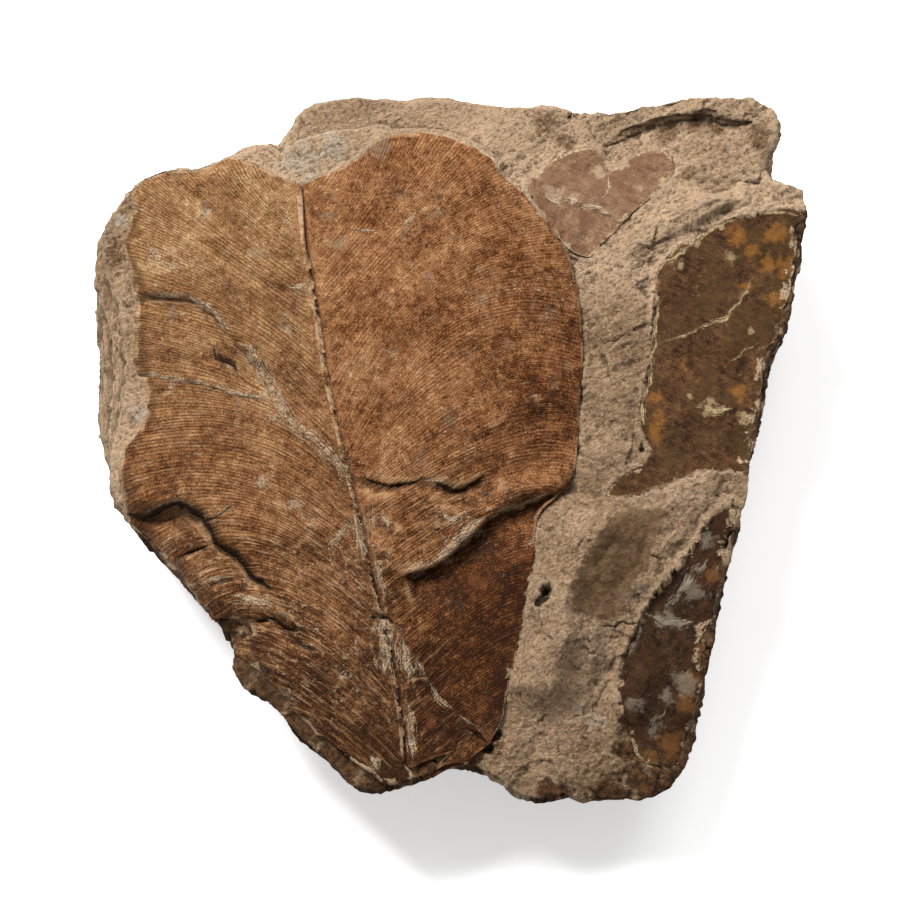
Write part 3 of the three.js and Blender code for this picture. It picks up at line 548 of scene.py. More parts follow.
def leaf_film():
    material, shade = new_material("leaf_film")
    point = shade.position()
    across = shade.attribute("across")
    tone = shade.attribute("tone")
    reach = abs(across)
    left = across.outside(-5, 3)
    rough = shade.attribute("rough")
    vein = shade.attribute("vein") + (point.noise(3, 2) - 0.5) * (0.3 + rough * 0.5)
    on_veins = vein.along(reach * 0.09, left * 40)
    fine = point.noise(0.42, 3, 0.7)
    light = tone - 0.09 + (point.noise(11, 5, 0.7) - 0.5) * 1.2
    light = light + (point.noise(1.8, 4, 0.7) - 0.5) * 1.2
    light = light + (on_veins.noise(3.5, 3, 0.6) - 0.5) * 0.3
    light = light + (on_veins.noise(0.6, 3, 0.7) - 0.5) * 0.6
    light = light + (fine - 0.5) * 1.6
    right_row = light.ramp(
        (0.0, colour(44, 22, 8)), (0.3, colour(95, 54, 24)), (0.55, colour(138, 92, 56)),
        (0.8, colour(163, 117, 78)), (1.0, colour(198, 158, 116)))
    left_row = light.ramp(
        (0.0, colour(56, 36, 20)), (0.3, colour(102, 66, 38)), (0.55, colour(138, 98, 61)),
        (0.8, colour(160, 122, 82)), (1.0, colour(198, 166, 124)))
    back = shade.node("ShaderNodeSeparateXYZ", {}, {0: point}, 1).between(-20, 40)
    base = (left * (0.25 + back * 0.75)).mix(right_row, left_row)
    rust = shade.position(turn=0.8).noise(7, 4, 0.65).between(0.57, 0.68)
    base = (rust * 0.5).mix(base, colour(108, 62, 36))
    grey = shade.position(turn=2.1).noise(8, 5, 0.7).between(0.57, 0.68)
    base = (grey * (0.1 + back * 0.4)).mix(base, colour(142, 122, 100))
    groove = vein_lines(shade, vein * (1.22 - 0.14 * left), shade.attribute("pitch"))
    worn = on_veins.noise(2.0, 4, 0.65).between(0.32, 0.58)
    line = groove.between(0.62, 0.98) * reach.between(1, 5) * (0.2 + 0.45 * worn) * (0.7 + 0.3 * left)
    base = line.mix(base, colour(50, 29, 15))
    ragged = (point.noise(0.8, 3, 0.6) - 0.5) * 1.7
    broken = point.noise(3.2, 4, 0.65)
    torn = rough * 0.06
    splinters = on_veins.noise(1.1, 4, 0.7)
    base = ((splinters + torn).between(0.58, 0.7) * rough * 0.45).mix(base, colour(176, 132, 88))
    base = ((splinters - torn).outside(0.32, 0.42) * rough * 0.75).mix(base, colour(36, 21, 11))
    crumbs = (point.noise(1.0, 4, 0.7) + torn).between(0.6, 0.68) * point.noise(14, 3).between(0.4, 0.58)
    flecks = (on_veins.noise(0.55, 4, 0.72) + torn).between(0.59, 0.7) * broken.between(0.38, 0.58)
    whole = tone.between(0.12, 0.4) * 0.85 + 0.15
    base = (shade.math("MAXIMUM", crumbs * 0.6, flecks * 0.5) * whole).mix(base, colour(200, 172, 136))
    specks = shade.position(turn=1.3).noise(0.9, 3, 0.65).between(0.62, 0.7)
    base = (specks * 0.7).mix(base, colour(44, 28, 16))
    shadow = (across + ragged * 0.6).between(-0.4, 0.2) * across.outside(0.8, 1.5)
    base = (shadow * 0.6).mix(base, colour(84, 50, 32))
    crust = (shade.attribute("crust") + (broken - 0.5) * 7 + (fine - 0.5) * 3).between(0.3, 1.3)
    grainy = fine.between(0.35, 0.6)
    base = (crust * 0.45).mix(base, grainy.mix(colour(138, 116, 90), colour(196, 178, 152)))
    frayed = across + ragged * 0.9
    rib = frayed.between(-1.6, -1.1) * frayed.outside(-0.4, 0.1)
    base = (rib * broken.between(0.42, 0.56) * 0.7).mix(base, colour(190, 162, 128))
    fibre = strands(shade, "fibre", ragged) * (broken + fine * 0.4).between(0.45, 0.75)
    base = (fibre * 0.75).mix(base, grainy.mix(colour(140, 116, 88), colour(206, 182, 150)))
    rim = (shade.attribute("rim") + ragged * 0.4).outside(0.1, 0.6) * broken.between(0.4, 0.6)
    base = (rim * 0.6).mix(base, colour(190, 158, 122))
    # Painted shade in the cracks and under the overhanging broken edges
    crack = slit(shade, "crack", ragged)
    base = (crack * 0.9).mix(base, colour(30, 19, 11))
    # Pits: painted shade, broken by grey crumbs
    pit = (shade.attribute("pit") + ragged * 0.4).between(0.1, 0.5)
    crumb = point.noise(1.2).between(0.4, 0.6).mix(colour(46, 34, 24), colour(140, 132, 118))
    base = (pit * 0.8).mix(base, crumb)
    hollow = shade.attribute("hollow")
    # Painted shade in hollows of the film, and painted highlight on its rises
    base = (hollow.between(0.04, 0.25) * 0.5).mix(base, colour(40, 23, 12))
    base = (hollow.outside(-0.25, -0.06) * 0.3).mix(base, colour(208, 166, 122))
    height = fine * 1.2 + fibre * 0.6 + crumbs * 0.5 + splinters * rough - crack * 0.6
    height = height - groove * 0.3 * reach.between(1, 5)
    finish_material(shade, base, 0.78, height, 0.26)
    return material


def film_finish(name, tones, second, stain, crust, stone, vein_turn):
    """A small leaf film: mottled in two browns, with faint veins, stains, pale crusts, and stone left on its
    rim."""
    material, shade = new_material(name)
    point = shade.position()
    fine = point.noise(0.5, 3, 0.7)
    veins = shade.position((0.1, 1, 0.3), vein_turn).noise(0.7, 3, 0.6)
    light = point.noise(7, 5, 0.65) + (fine - 0.5) * 1.1 + (veins - 0.5) * 0.5
    light = light + (point.noise(1.8, 4) - 0.5) * 0.9
    base = light.ramp((0.22, tones[0]), (0.48, tones[1]), (0.78, tones[2]))
    mottled = shade.position(turn=0.9).noise(9, 4, 0.6).between(0.45, 0.6)
    base = (mottled * 0.6).mix(base, second)
    ragged = (point.noise(0.9, 4, 0.65) - 0.5) * 2
    patch = point.noise(2.6, 5, 0.7)
    spot = (shade.attribute("stain") + (patch - 0.5) * 3).between(0.1, 0.8)
    base = (spot * 0.65).mix(base, stain)
    crumbs = point.noise(1.3, 5, 0.72).between(0.61, 0.69) * point.noise(8, 3).between(0.46, 0.6)
    base = (crumbs * 0.7).mix(base, crust)
    blotch = (shade.attribute("crust") + (patch - 0.5) * 3).between(0.2, 0.8)
    base = (blotch * 0.5).mix(base, crust)
    pale_line = strands(shade, "fibre", ragged) * patch.between(0.36, 0.54)
    base = (pale_line * 0.85).mix(base, crust)
    bites = (point.noise(5, 4, 0.65) - 0.5) * 9 + (patch - 0.5) * 4
    rim = (shade.attribute("rim") + bites + ragged * 0.3).outside(0.0, 0.5)
    grains = fine.ramp((0.3, colour(98, 78, 54)), (0.5, stone), (0.68, colour(204, 180, 148)))
    base = (rim * 0.92).mix(base, grains)
    hollow = shade.attribute("hollow")
    # Painted shade in hollows of the film, and painted highlight on its rises
    base = (hollow.between(0.03, 0.2) * 0.5).mix(base, tones[0])
    base = (hollow.outside(-0.2, -0.05) * 0.3).mix(base, crust)
    height = fine + veins * 0.6 + pale_line * 0.6 + crumbs + rim * 0.8
    finish_material(shade, base, 0.72, height, 0.28)
    return material


def smooth(value, low, high):
    share = np.clip((value - low) / (high - low), 0, 1)
    return share * share * (3 - 2 * share)


def line_offset(plan, line):
    """Nearest place on a line: distance (+ on its left, - on its right), distance along the line to its
    nearer end, and the place."""
    best = np.full(len(plan), np.inf)
    side = np.ones(len(plan))
    run = np.zeros(len(plan))
    foot = np.array(plan)
    points = np.array(line, float)
    passed = 0.0
    for start, end in zip(points[:-1], points[1:]):
        way = end - start
        length = np.linalg.norm(way)
        off = plan - start
        step = np.clip(off @ way / (way @ way), 0, 1)
        near = start + step[:, None] * way
        distance = np.linalg.norm(plan - near, axis=1)
        nearer = distance < best
        best[nearer] = distance[nearer]
        side[nearer] = np.where(way[0] * off[nearer, 1] - way[1] * off[nearer, 0] < 0, -1, 1)
        run[nearer] = passed + length * step[nearer]
        foot[nearer] = near[nearer]
        passed += length
    return best * side, np.minimum(run, passed - run), foot


def line_field(plan, lines):
    """For the nearest of some lines: signed distance in half widths, which taper at its ends, 1 near it
    fading to 0 away, and the distance along it to its nearer end."""
    field = np.full(len(plan), 9.0)
    near = np.zeros(len(plan))
    along = np.zeros(len(plan))
    for line, half_width in lines:
        offset, run, _ = line_offset(plan, line)
        scaled = offset / (half_width * (0.25 + 0.75 * smooth(run, 0, 4)))
        nearer = np.abs(scaled) < np.abs(field)
        field[nearer] = scaled[nearer]
        beside = 1 - smooth(np.abs(offset), 1.6 + half_width, 3 + half_width)
        near[nearer] = (smooth(run, 0, 1) * beside)[nearer]
        along[nearer] = run[nearer]
    return field, near, along


def spot_field(plan, spots):
    """1 in the middle of the nearest of some (x, y, radius) spots, 0 at its edge, and less outside."""
    field = np.full(len(plan), -2.0)
    for x, y, radius in spots:
        field = np.maximum(field, 1 - np.hypot(plan[:, 0] - x, plan[:, 1] - y) / radius)
    return field


def inside_field(plan, outline):
    """Distance in millimetres to a closed outline, + inside it and - outside."""
    offset, _, _ = line_offset(plan, outline + outline[:1])
    crossings = np.zeros(len(plan), int)
    for (x0, y0), (x1, y1) in zip(outline, outline[1:] + outline[:1]):
        spans = (plan[:, 1] < y0) != (plan[:, 1] < y1)
        crossings += spans & (plan[:, 0] < x0 + (x1 - x0) * (plan[:, 1] - y0) / (y1 - y0))
    return np.where(crossings % 2 == 1, np.abs(offset), -np.abs(offset))


def tone_field(plan, tones):
    """Mean of some (x, y, tone) values, of which the near ones count most."""
    total = np.zeros(len(plan))
    weights = np.zeros(len(plan))
    for x, y, tone in tones:
        weight = 1 / ((plan[:, 0] - x) ** 2 + (plan[:, 1] - y) ** 2 + 9) ** 1.6
        total += weight * tone
        weights += weight
    return total / weights


def edge_heights(plan, edges):
    """Fall on the right-hand side of some broken edges, and the lip on their left."""
    height = np.zeros(len(plan))
    for line, drop, reach, lip in edges:
        offset, run, _ = line_offset(plan, line)
        ends = smooth(run, 0, 3)
        fall = smooth(-offset, -0.1, 0.35) * (1 - smooth(-offset, 0.4, reach))
        rise = smooth(offset, -0.1, 0.3) * (1 - smooth(offset, 0.3, 2.2))
        height += ends * (lip * rise - drop * fall)
    return height


def ridge_heights(plan, ridges):
    """Slopes that start at a crease along each ridge, and come back up further out."""
    height = np.zeros(len(plan))
    for line, drop, reach in ridges:
        offset, run, _ = line_offset(plan, line)
        slope = np.clip(-offset / reach, 0, 1) * (1 - smooth(-offset, reach, 2.4 * reach))
        height -= drop * slope * smooth(run, 0, 6)
    return height


def crest_heights(plan, crests):
    """Roofs with a crease along each crest."""
    height = np.zeros(len(plan))
    for line, rise, left, right in crests:
        offset, run, _ = line_offset(plan, line)
        slope = np.clip(1 - np.abs(offset) / np.where(offset > 0, left, right), 0, 1)
        height = np.maximum(height, rise * slope * smooth(run, 0, 7))
    return height


def fold_heights(plan, folds):
    height = np.zeros(len(plan))
    for line, rise, width in folds:
        offset, run, _ = line_offset(plan, line)
        height += rise * smooth(run, 0, 4) * np.exp(-((offset / width) ** 2))
    return height


def wander(plan, reach, size, seed):
    """Plan places moved about at random, so that what follows a line from them comes out crooked."""
    flat = np.column_stack([plan, np.zeros(len(plan))])
    return plan + reach * np.stack([clouds(flat, size, 3, seed), clouds(flat, size, 3, seed + 11)], 1)


def drawn_in(plan, crooked, lines, reach):
    """Plan places drawn towards some crooked lines, so that the mesh breaks along them."""
    for line in lines:
        offset, run, foot = line_offset(crooked, line)
        share = np.abs(offset) / reach
        push = np.where((share < 1) & (run > 0), share - 1, 0)
        move = (crooked - foot) * push[:, None]
        plan = plan + move
        crooked = crooked + move
    return plan, crooked


def seed_offset(seed):
    return Vector((seed, 1.7 * seed, 2.3 * seed))


def clouds(points, size, octaves, seed):
    """Fractal noise about 0 at points in millimetres."""
    offset = seed_offset(seed)
    return np.array([noise.fractal(Vector(point) / size + offset, 1.0, 2.0, octaves) for point in points])


def chips(points, size, seed):
    """Small tilted facets as on broken stone: each cell about a random centre is a plane of its own."""
    offset = seed_offset(seed)
    middle = Vector((0.5, 0.5, 0.5))
    heights = []
    for point in points:
        place = Vector(point) / size + offset
        centre = noise.voronoi(place)[1][0]
        heights.append((place - centre).dot(noise.cell_vector(centre * 9.7) - middle))
    return np.array(heights)


def merged_copy(node):
    """A bmesh copy of a frame node, with its loose triangles joined."""
    bm = bmesh.new()
    bm.from_mesh(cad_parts[node].data)
    bmesh.ops.remove_doubles(bm, verts=bm.verts, dist=0.005 * MM)
    return bm


def smoothed(bm, levels, keep_angle):
    """Subdivision surface of a bmesh, with edges past keep_angle kept fairly sharp."""
    crease = bm.edges.layers.float.new("crease_edge")
    for edge in bm.edges:
        angle = math.degrees(edge.calc_face_angle(0))
        edge[crease] = float(smooth(np.array(angle), keep_angle - 15, keep_angle + 15)) * 0.8
    mesh = bpy.data.meshes.new("cage")
    bm.to_mesh(mesh)
    bm.free()
    cage = bpy.data.objects.new("cage", mesh)
    bpy.context.scene.collection.objects.link(cage)
    modifier = cage.modifiers.new("smooth", "SUBSURF")
    modifier.levels = modifier.render_levels = levels
    result = bmesh.new()
    result.from_object(cage, bpy.context.evaluated_depsgraph_get())
    bpy.data.objects.remove(cage)
    bpy.data.meshes.remove(mesh)
    return result


def refine(bm, wanted, passes):
    """Splits the edges that are longer than wanted(places, normals), in millimetres."""
    bmesh.ops.triangulate(bm, faces=bm.faces)
    for _ in range(passes):
        bm.normal_update()
        edges = list(bm.edges)
        middles = np.array([(e.verts[0].co + e.verts[1].co) / 2 for e in edges]) / MM
        normals = np.array([e.verts[0].normal + e.verts[1].normal for e in edges]) / 2
        lengths = np.array([e.calc_length() for e in edges]) / MM
        split = [edge for edge, far in zip(edges, lengths > 1.35 * wanted(middles, normals)) if far]
        bmesh.ops.subdivide_edges(bm, edges=split, cuts=1)
        bmesh.ops.triangulate(bm, faces=[face for face in bm.faces if len(face.verts) > 3])


def places(bm):
    return np.array([vert.co for vert in bm.verts]) / MM


def directions(bm):
    bm.normal_update()
    return np.array([vert.normal for vert in bm.verts])


def set_places(bm, points):
    for vert, point in zip(bm.verts, points):
        vert.co = Vector(point) * MM


def keep(bm, **values):
    """Keeps one value a vertex under each name, for the materials."""
    for name, row in values.items():
        layer = bm.verts.layers.float.new(name)
        for vert, value in zip(bm.verts, row):
            vert[layer] = value


def hollows(bm, rings):
    """How far each vertex lies below (+) or above (-) the mean of those around it, in millimetres."""
    bm.verts.index_update()
    pairs = np.array([[vert.index for vert in edge.verts] for edge in bm.edges])
    ends = np.concatenate([pairs, pairs[:, ::-1]])
    points = places(bm)
    count = np.bincount(ends[:, 0], minlength=len(points))
    mean = points
    for _ in range(rings):
        sums = [np.bincount(ends[:, 0], mean[ends[:, 1], axis], len(points)) for axis in range(3)]
        mean = np.stack(sums, 1) / np.maximum(count, 1)[:, None]
    return np.sum((mean - points) * directions(bm), axis=1)


def as_piece(bm, name, material, node):
    """A finished piece from a bmesh, standing for a node of the frame."""
    mesh = bpy.data.meshes.new(name)
    bm.to_mesh(mesh)
    bm.free()
    mesh.shade_smooth()
    mesh.materials.append(material)
    piece = bpy.data.objects.new(name, mesh)
    bpy.context.scene.collection.objects.link(piece)
    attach(piece, "root")
    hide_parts(node)
    return piece


def node_tree(name):
    return BVHTree.FromObject(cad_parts[name], bpy.context.evaluated_depsgraph_get())


def ground(tree, place):
    """Height of a surface at a place in plan, in millimetres, or None off its edge."""
    hit = tree.ray_cast(Vector((place[0], place[1], SKY)) * MM, DOWN)[0]
    return None if hit is None else hit.z / MM


def cover(tree, points):
    """Height of the film that lies over each point, or infinity where none does."""
    below = Vector((0, 0, COVER_BELOW * MM))
    hits = [tree.ray_cast(Vector(point) * MM - below, UP, COVER_REACH * MM)[0] for point in points]
    return np.array([np.inf if hit is None else hit.z / MM for hit in hits])


def margin_distance(trees, points):
    """Distance in plan, in millimetres, to the nearest of some films, or infinity where none is close."""
    best = np.full(len(points), np.inf)
    for tree in trees:
        for index, point in enumerate(points):
            near = tree.find_nearest(Vector(point) * MM, MARGIN_SEARCH * MM)[0]
            if near is not None:
                gap = math.hypot(near.x / MM - point[0], near.y / MM - point[1])
                best[index] = min(best[index], gap)
    return best


def leaf_rows():
    """Where each row of the large leaf leaves the midrib: rows are half a vein apart at the margins."""
    starts = np.linspace(LEFT_VEINS[0][0], LEFT_VEINS[-1][0], ROW_SAMPLES)
    spread = np.zeros(len(starts))
    for veins in (LEFT_VEINS, RIGHT_VEINS):
        levels = [-vein[0] for vein in veins]
        ends = [np.interp(-starts, levels, [vein[2][axis] for vein in veins]) for axis in (0, 1)]
        spread[1:] += np.cumsum(np.linalg.norm(np.diff(np.stack(ends, 1), axis=0), axis=1)) / 2
    count = int(spread[-1] / (VEIN_PITCH / 2))
    return np.interp(np.linspace(0, spread[-1], count), spread, starts)


def vein_curve(start, bend, end, share):
    """Places at some shares of the way along a curved vein."""
    s = share[:, None]
    return (1 - s) ** 2 * start + 2 * s * (1 - s) * bend + s ** 2 * end


def run_out(stone, place, way):
    """How far the film runs on past its margin, and whether that takes it to the brow."""
    if place[0] < LEFT_RIM[0] and LEFT_RIM[1] < place[1] < LEFT_RIM[2]:
        return TUCK, False
    last = ground(stone, place)
    front = place[0] < FRONT_END[0] and FRONT_END[1] < place[1] < LEFT_RIM[1]
    most = FRONT_REACH if front else BROW_REACH
    for far in np.arange(BROW_STEP, most, BROW_STEP):
        height = ground(stone, place + far * way)
        if height is None or height < last - BROW_FALL:
            return max(far - BROW_STEP - BROW_GAP, OPEN_REACH), True
        last = height
    return (OPEN_REACH, True) if place[0] > OPEN_MARGIN else (TUCK, False)


def evened(values):
    """Values along the rows of the leaf: the lowest of five about each row, and then the mean of seven."""
    padded = np.pad(values, 5, mode="edge")
    lowest = np.min([padded[shift:len(padded) - 4 + shift] for shift in range(5)], axis=0)
    return np.mean([lowest[shift:len(lowest) - 6 + shift] for shift in range(7)], axis=0)


def half_leaf(veins, rows, film, stone):
    """One half of the large leaf, a row for each half vein: plan places, distance from the midrib, distance
    in from the margin of the frame's film and from the edge that shows, vein spacing, and which rows go
    under the stone."""
    levels = [-vein[0] for vein in veins]
    midrib = np.array(MIDRIB)
    root = np.stack([np.interp(-rows, -midrib[:, 1], midrib[:, 0]), rows], 1)
    kernel = np.ones(2 * GUIDE_BLUR + 1) / (2 * GUIDE_BLUR + 1)

    def guide(which):
        rows_out = []
        for axis in (0, 1):
            values = np.interp(-rows, levels, [vein[which][axis] for vein in veins])
            padded = np.pad(values, GUIDE_BLUR, mode="reflect", reflect_type="odd")
            rows_out.append(np.convolve(padded, kernel, "valid"))
        return np.stack(rows_out, 1)

    end = guide(2)
    bend = 2 * guide(1) - (root + end) / 2
    share = np.linspace(0, VEIN_END, VEIN_SAMPLES)
    spans = []
    for a, b, c in zip(root, bend, end):
        curve = vein_curve(a, b, c, share)
        inside = np.flatnonzero([ground(film, place) is not None for place in curve])
        if len(inside) < 3:
            if spans:
                break
            inside = np.array([0, 1, 2])
        first, last = inside[0], inside[-1]
        way = curve[last] - curve[last - 1]
        pace = np.linalg.norm(way) / (share[1] - share[0])
        far, free = run_out(stone, curve[last], way / np.linalg.norm(way))
        start = share[first]
        if first > 0:
            start -= run_out(stone, curve[first], (a - b) / np.linalg.norm(a - b))[0] / pace
        spans.append((start, share[last], pace, far, free))
    starts, stops, paces, fars, free = np.array(spans).T
    jags = [noise.noise(Vector((0.21 * index, len(veins), 0))) for index in range(len(spans))]
    fars = evened(fars) + 0.4 * np.array(jags)
    stops = evened(stops) + fars / paces
    steps = np.linspace(0, 1, VEIN_STEPS + 1) ** VEIN_CROWDING
    grid = []
    for a, b, c, start, stop in zip(root, bend, end, starts, stops):
        grid.append(vein_curve(a, b, c, start + (stop - start) * steps))
    grid = np.array(grid)
    step_length = np.linalg.norm(np.diff(grid, axis=1), axis=2)
    reach = np.pad(np.cumsum(step_length, axis=1), ((0, 0), (1, 0)))
    edge = reach[:, -1:] - reach
    step_way = np.gradient(grid, axis=1)
    step_way /= np.linalg.norm(step_way, axis=2)[:, :, None] + 1e-9
    row_way = 2 * np.gradient(grid, axis=0)
    pitch = np.abs(row_way[..., 0] * step_way[..., 1] - row_way[..., 1] * step_way[..., 0])
    tucked = free < 0.5
    shown = edge - np.where(tucked, TUCK, 0)[:, None]
    return grid, reach, edge - fars[:, None], shown, pitch, tucked


def main_leaf_piece(base, film, material):
    """The large leaf: two halves of rows along the veins, joined at the midrib, with its breaks."""
    stone = BVHTree.FromBMesh(base)
    rows = leaf_rows()
    bm = bmesh.new()
    plan, vein, across, rim, edge, pitch, tucked = [], [], [], [], [], [], []
    for veins, side in ((LEFT_VEINS, -1), (RIGHT_VEINS, 1)):
        grid, reach, inward, from_edge, spacing, under = half_leaf(veins, rows, film, stone)
        count = len(grid)
        made = bmesh.ops.create_grid(bm, x_segments=count - 1, y_segments=VEIN_STEPS, size=1)["verts"]
        for vert in made:
            row = round((vert.co.x + 1) / 2 * (count - 1))
            step = round((vert.co.y + 1) / 2 * VEIN_STEPS)
            plan.append(grid[row, step])
            vein.append(row / 2)
            across.append(side * reach[row, step])
            rim.append(inward[row, step])
            edge.append(from_edge[row, step])
            pitch.append(spacing[row, step])
            tucked.append(under[row])
    vein, across, rim, pitch = np.array(vein), np.array(across), np.array(rim), np.array(pitch)
    tucked = np.array(tucked)
    plan = np.array(plan)
    edge_lines = [line for line, _, _, _ in LEAF_EDGES]
    plan, crooked = drawn_in(plan, wander(plan, 0.75, 4.5, 71), edge_lines, 1.3)
    heights = [ground(stone, place) for place in plan]
    last_height = min(height for height in heights if height is not None)
    points = np.column_stack([plan, [last_height if height is None else height for height in heights]])
    past = np.maximum(-rim, 0)
    points[:, 2] += FILM_RISE * (1 - smooth(past, 0, 2.4)) + FILM_LIFT
    points[:, 2] -= np.where(tucked, TUCK_FALL, 0) * smooth(past, 0, TUCK)
    crack, crack_near, _ = line_field(crooked, LEAF_CRACKS)
    fibre, fibre_near, fibre_run = line_field(crooked, LEAF_FIBRES)
    pit = spot_field(crooked, LEAF_PITS)
    inner = smooth(rim, 0, 1.5)
    relief = edge_heights(crooked, LEAF_EDGES) + fold_heights(crooked, LEAF_FOLDS)
    relief -= 0.5 * crack_near * (1 - smooth(np.abs(crack), 0.4, 1.6)) + 0.7 * smooth(pit, 0, 0.6)
    relief += 0.1 * fibre_near * (1 - smooth(np.abs(fibre), 0.5, 1.5)) * (1 + clouds(points, 1.5, 2, 51))
    relief += 0.3 * np.exp(-((across + 0.7) / 0.7) ** 2) - 0.25 * np.exp(-((across - 0.5) / 0.5) ** 2)
    relief += 0.3 * clouds(points, 8, 3, 31) + 0.14 * clouds(points, 2.2, 3, 37)
    rough = tone_field(plan, LEAF_ROUGH)
    relief += smooth(rough, 0.3, 0.9) * (1.1 * chips(points, 7, 63) + 0.4 * chips(points, 2.6, 67))
    on_veins = np.column_stack([vein, 0.14 * np.abs(across), np.sign(across) * 9])
    relief += rough * (0.3 * clouds(on_veins, 1.6, 3, 53) + 0.35 * clouds(on_veins, 5, 3, 57))
    ribbed = smooth(np.abs(across), 1, 6) * smooth(pitch, 0.5, 0.7) * (1 - smooth(pitch, 1.15, 1.35))
    relief += VEIN_DEPTH * np.where(np.round(vein * 2) % 2 == 1, 0.5, -0.5) * ribbed
    points[:, 2] += relief * inner
    set_places(bm, points)
    if sum(face.calc_area() * face.normal.z for face in bm.faces) < 0:
        bmesh.ops.reverse_faces(bm, faces=bm.faces)
    keep(bm, vein=vein, across=across, rim=edge, pitch=pitch, rough=rough, pit=pit, crack=crack,
         crack_near=crack_near, fibre=fibre, fibre_near=fibre_near, fibre_run=fibre_run,
         tone=tone_field(plan, LEAF_TONES), crust=spot_field(crooked, LEAF_CRUSTS),
         tucked=tucked & (past > 0))
    bmesh.ops.remove_doubles(bm, verts=bm.verts, dist=0.01 * MM)
    keep(bm, hollow=hollows(bm, 2))
    buried = bm.verts.layers.float["tucked"]
    bm.verts.index_update()
    open_faces = [face for face in bm.faces if not any(vert[buried] for vert in face.verts)]
    corners = [[vert.index for vert in face.verts] for face in open_faces]
    tree = BVHTree.FromPolygons([vert.co for vert in bm.verts], corners)
    piece = as_piece(bm, "main_leaf_film", material, "main_leaf")
    thick = piece.modifiers.new("thickness", "SOLIDIFY")
    thick.thickness = FILM_DEPTH * MM
    thick.offset = -1
    return tree


def rim_distance(points, normals):
    """Distance in plan from each point to the side wall of a film."""
    walls = points[np.abs(normals[:, 2]) < 0.5]
    tree = KDTree(len(walls))
    for index, (x, y, _) in enumerate(walls):
        tree.insert((x, y, 0), index)
    tree.balance()
    return np.array([tree.find((x, y, 0))[2] for x, y, _ in points])


def small_film_piece(node, material, stone, spread, pale_lines, stains, crusts):
    """A small film: the frame's film with its relief, a little wider so that its margin lies under the stone,
    and wider still on one side. Spread gives the way (x, y) to that side and how much wider it is there."""
    bm = smoothed(merged_copy(node), 1, FILM_KEEP_ANGLE)
    points = places(bm)
    normals = directions(bm)
    reach = TUCK + 0.4 * clouds(points, 3, 2, 83)
    reach += spread[2] * smooth(normals[:, :2] @ spread[:2], 0.2, 0.8)
    moved = points[:, :2] + reach[:, None] * normals[:, :2]
    for index, (old, new) in enumerate(zip(points[:, :2].copy(), moved)):
        before, after = ground(stone, old), ground(stone, new)
        if before is not None and after is not None:
            points[index] = (new[0], new[1], points[index, 2] + after - before)
    set_places(bm, points)
    refine(bm, lambda _, normals: np.where(normals[:, 2] > 0.3, FACE_MESH, FILM_SIDE_MESH), SPLITS)
    points = places(bm)
    normals = directions(bm)
    rim = rim_distance(points, normals)
    upper = smooth(normals[:, 2], 0.2, 0.5)
    crooked = wander(points[:, :2], 1.2, 5, 81)
    fibre, fibre_near, fibre_run = line_field(crooked, pale_lines)
    relief = 0.3 * clouds(points, 7, 3, 41) + 0.12 * clouds(points, 1.4, 3, 43)
    relief += 0.15 * fibre_near * (1 - smooth(np.abs(fibre), 0.4, 1.5)) * (1 + clouds(points, 1.2, 2, 47))
    points[:, 2] += upper * relief
    set_places(bm, points)
    keep(bm, fibre=fibre, fibre_near=fibre_near, fibre_run=fibre_run, rim=rim,
         stain=spot_field(crooked, stains), crust=spot_field(crooked, crusts), hollow=hollows(bm, 3))
    tree = BVHTree.FromBMesh(bm)
    as_piece(bm, node + "_film", material, node)
    return tree


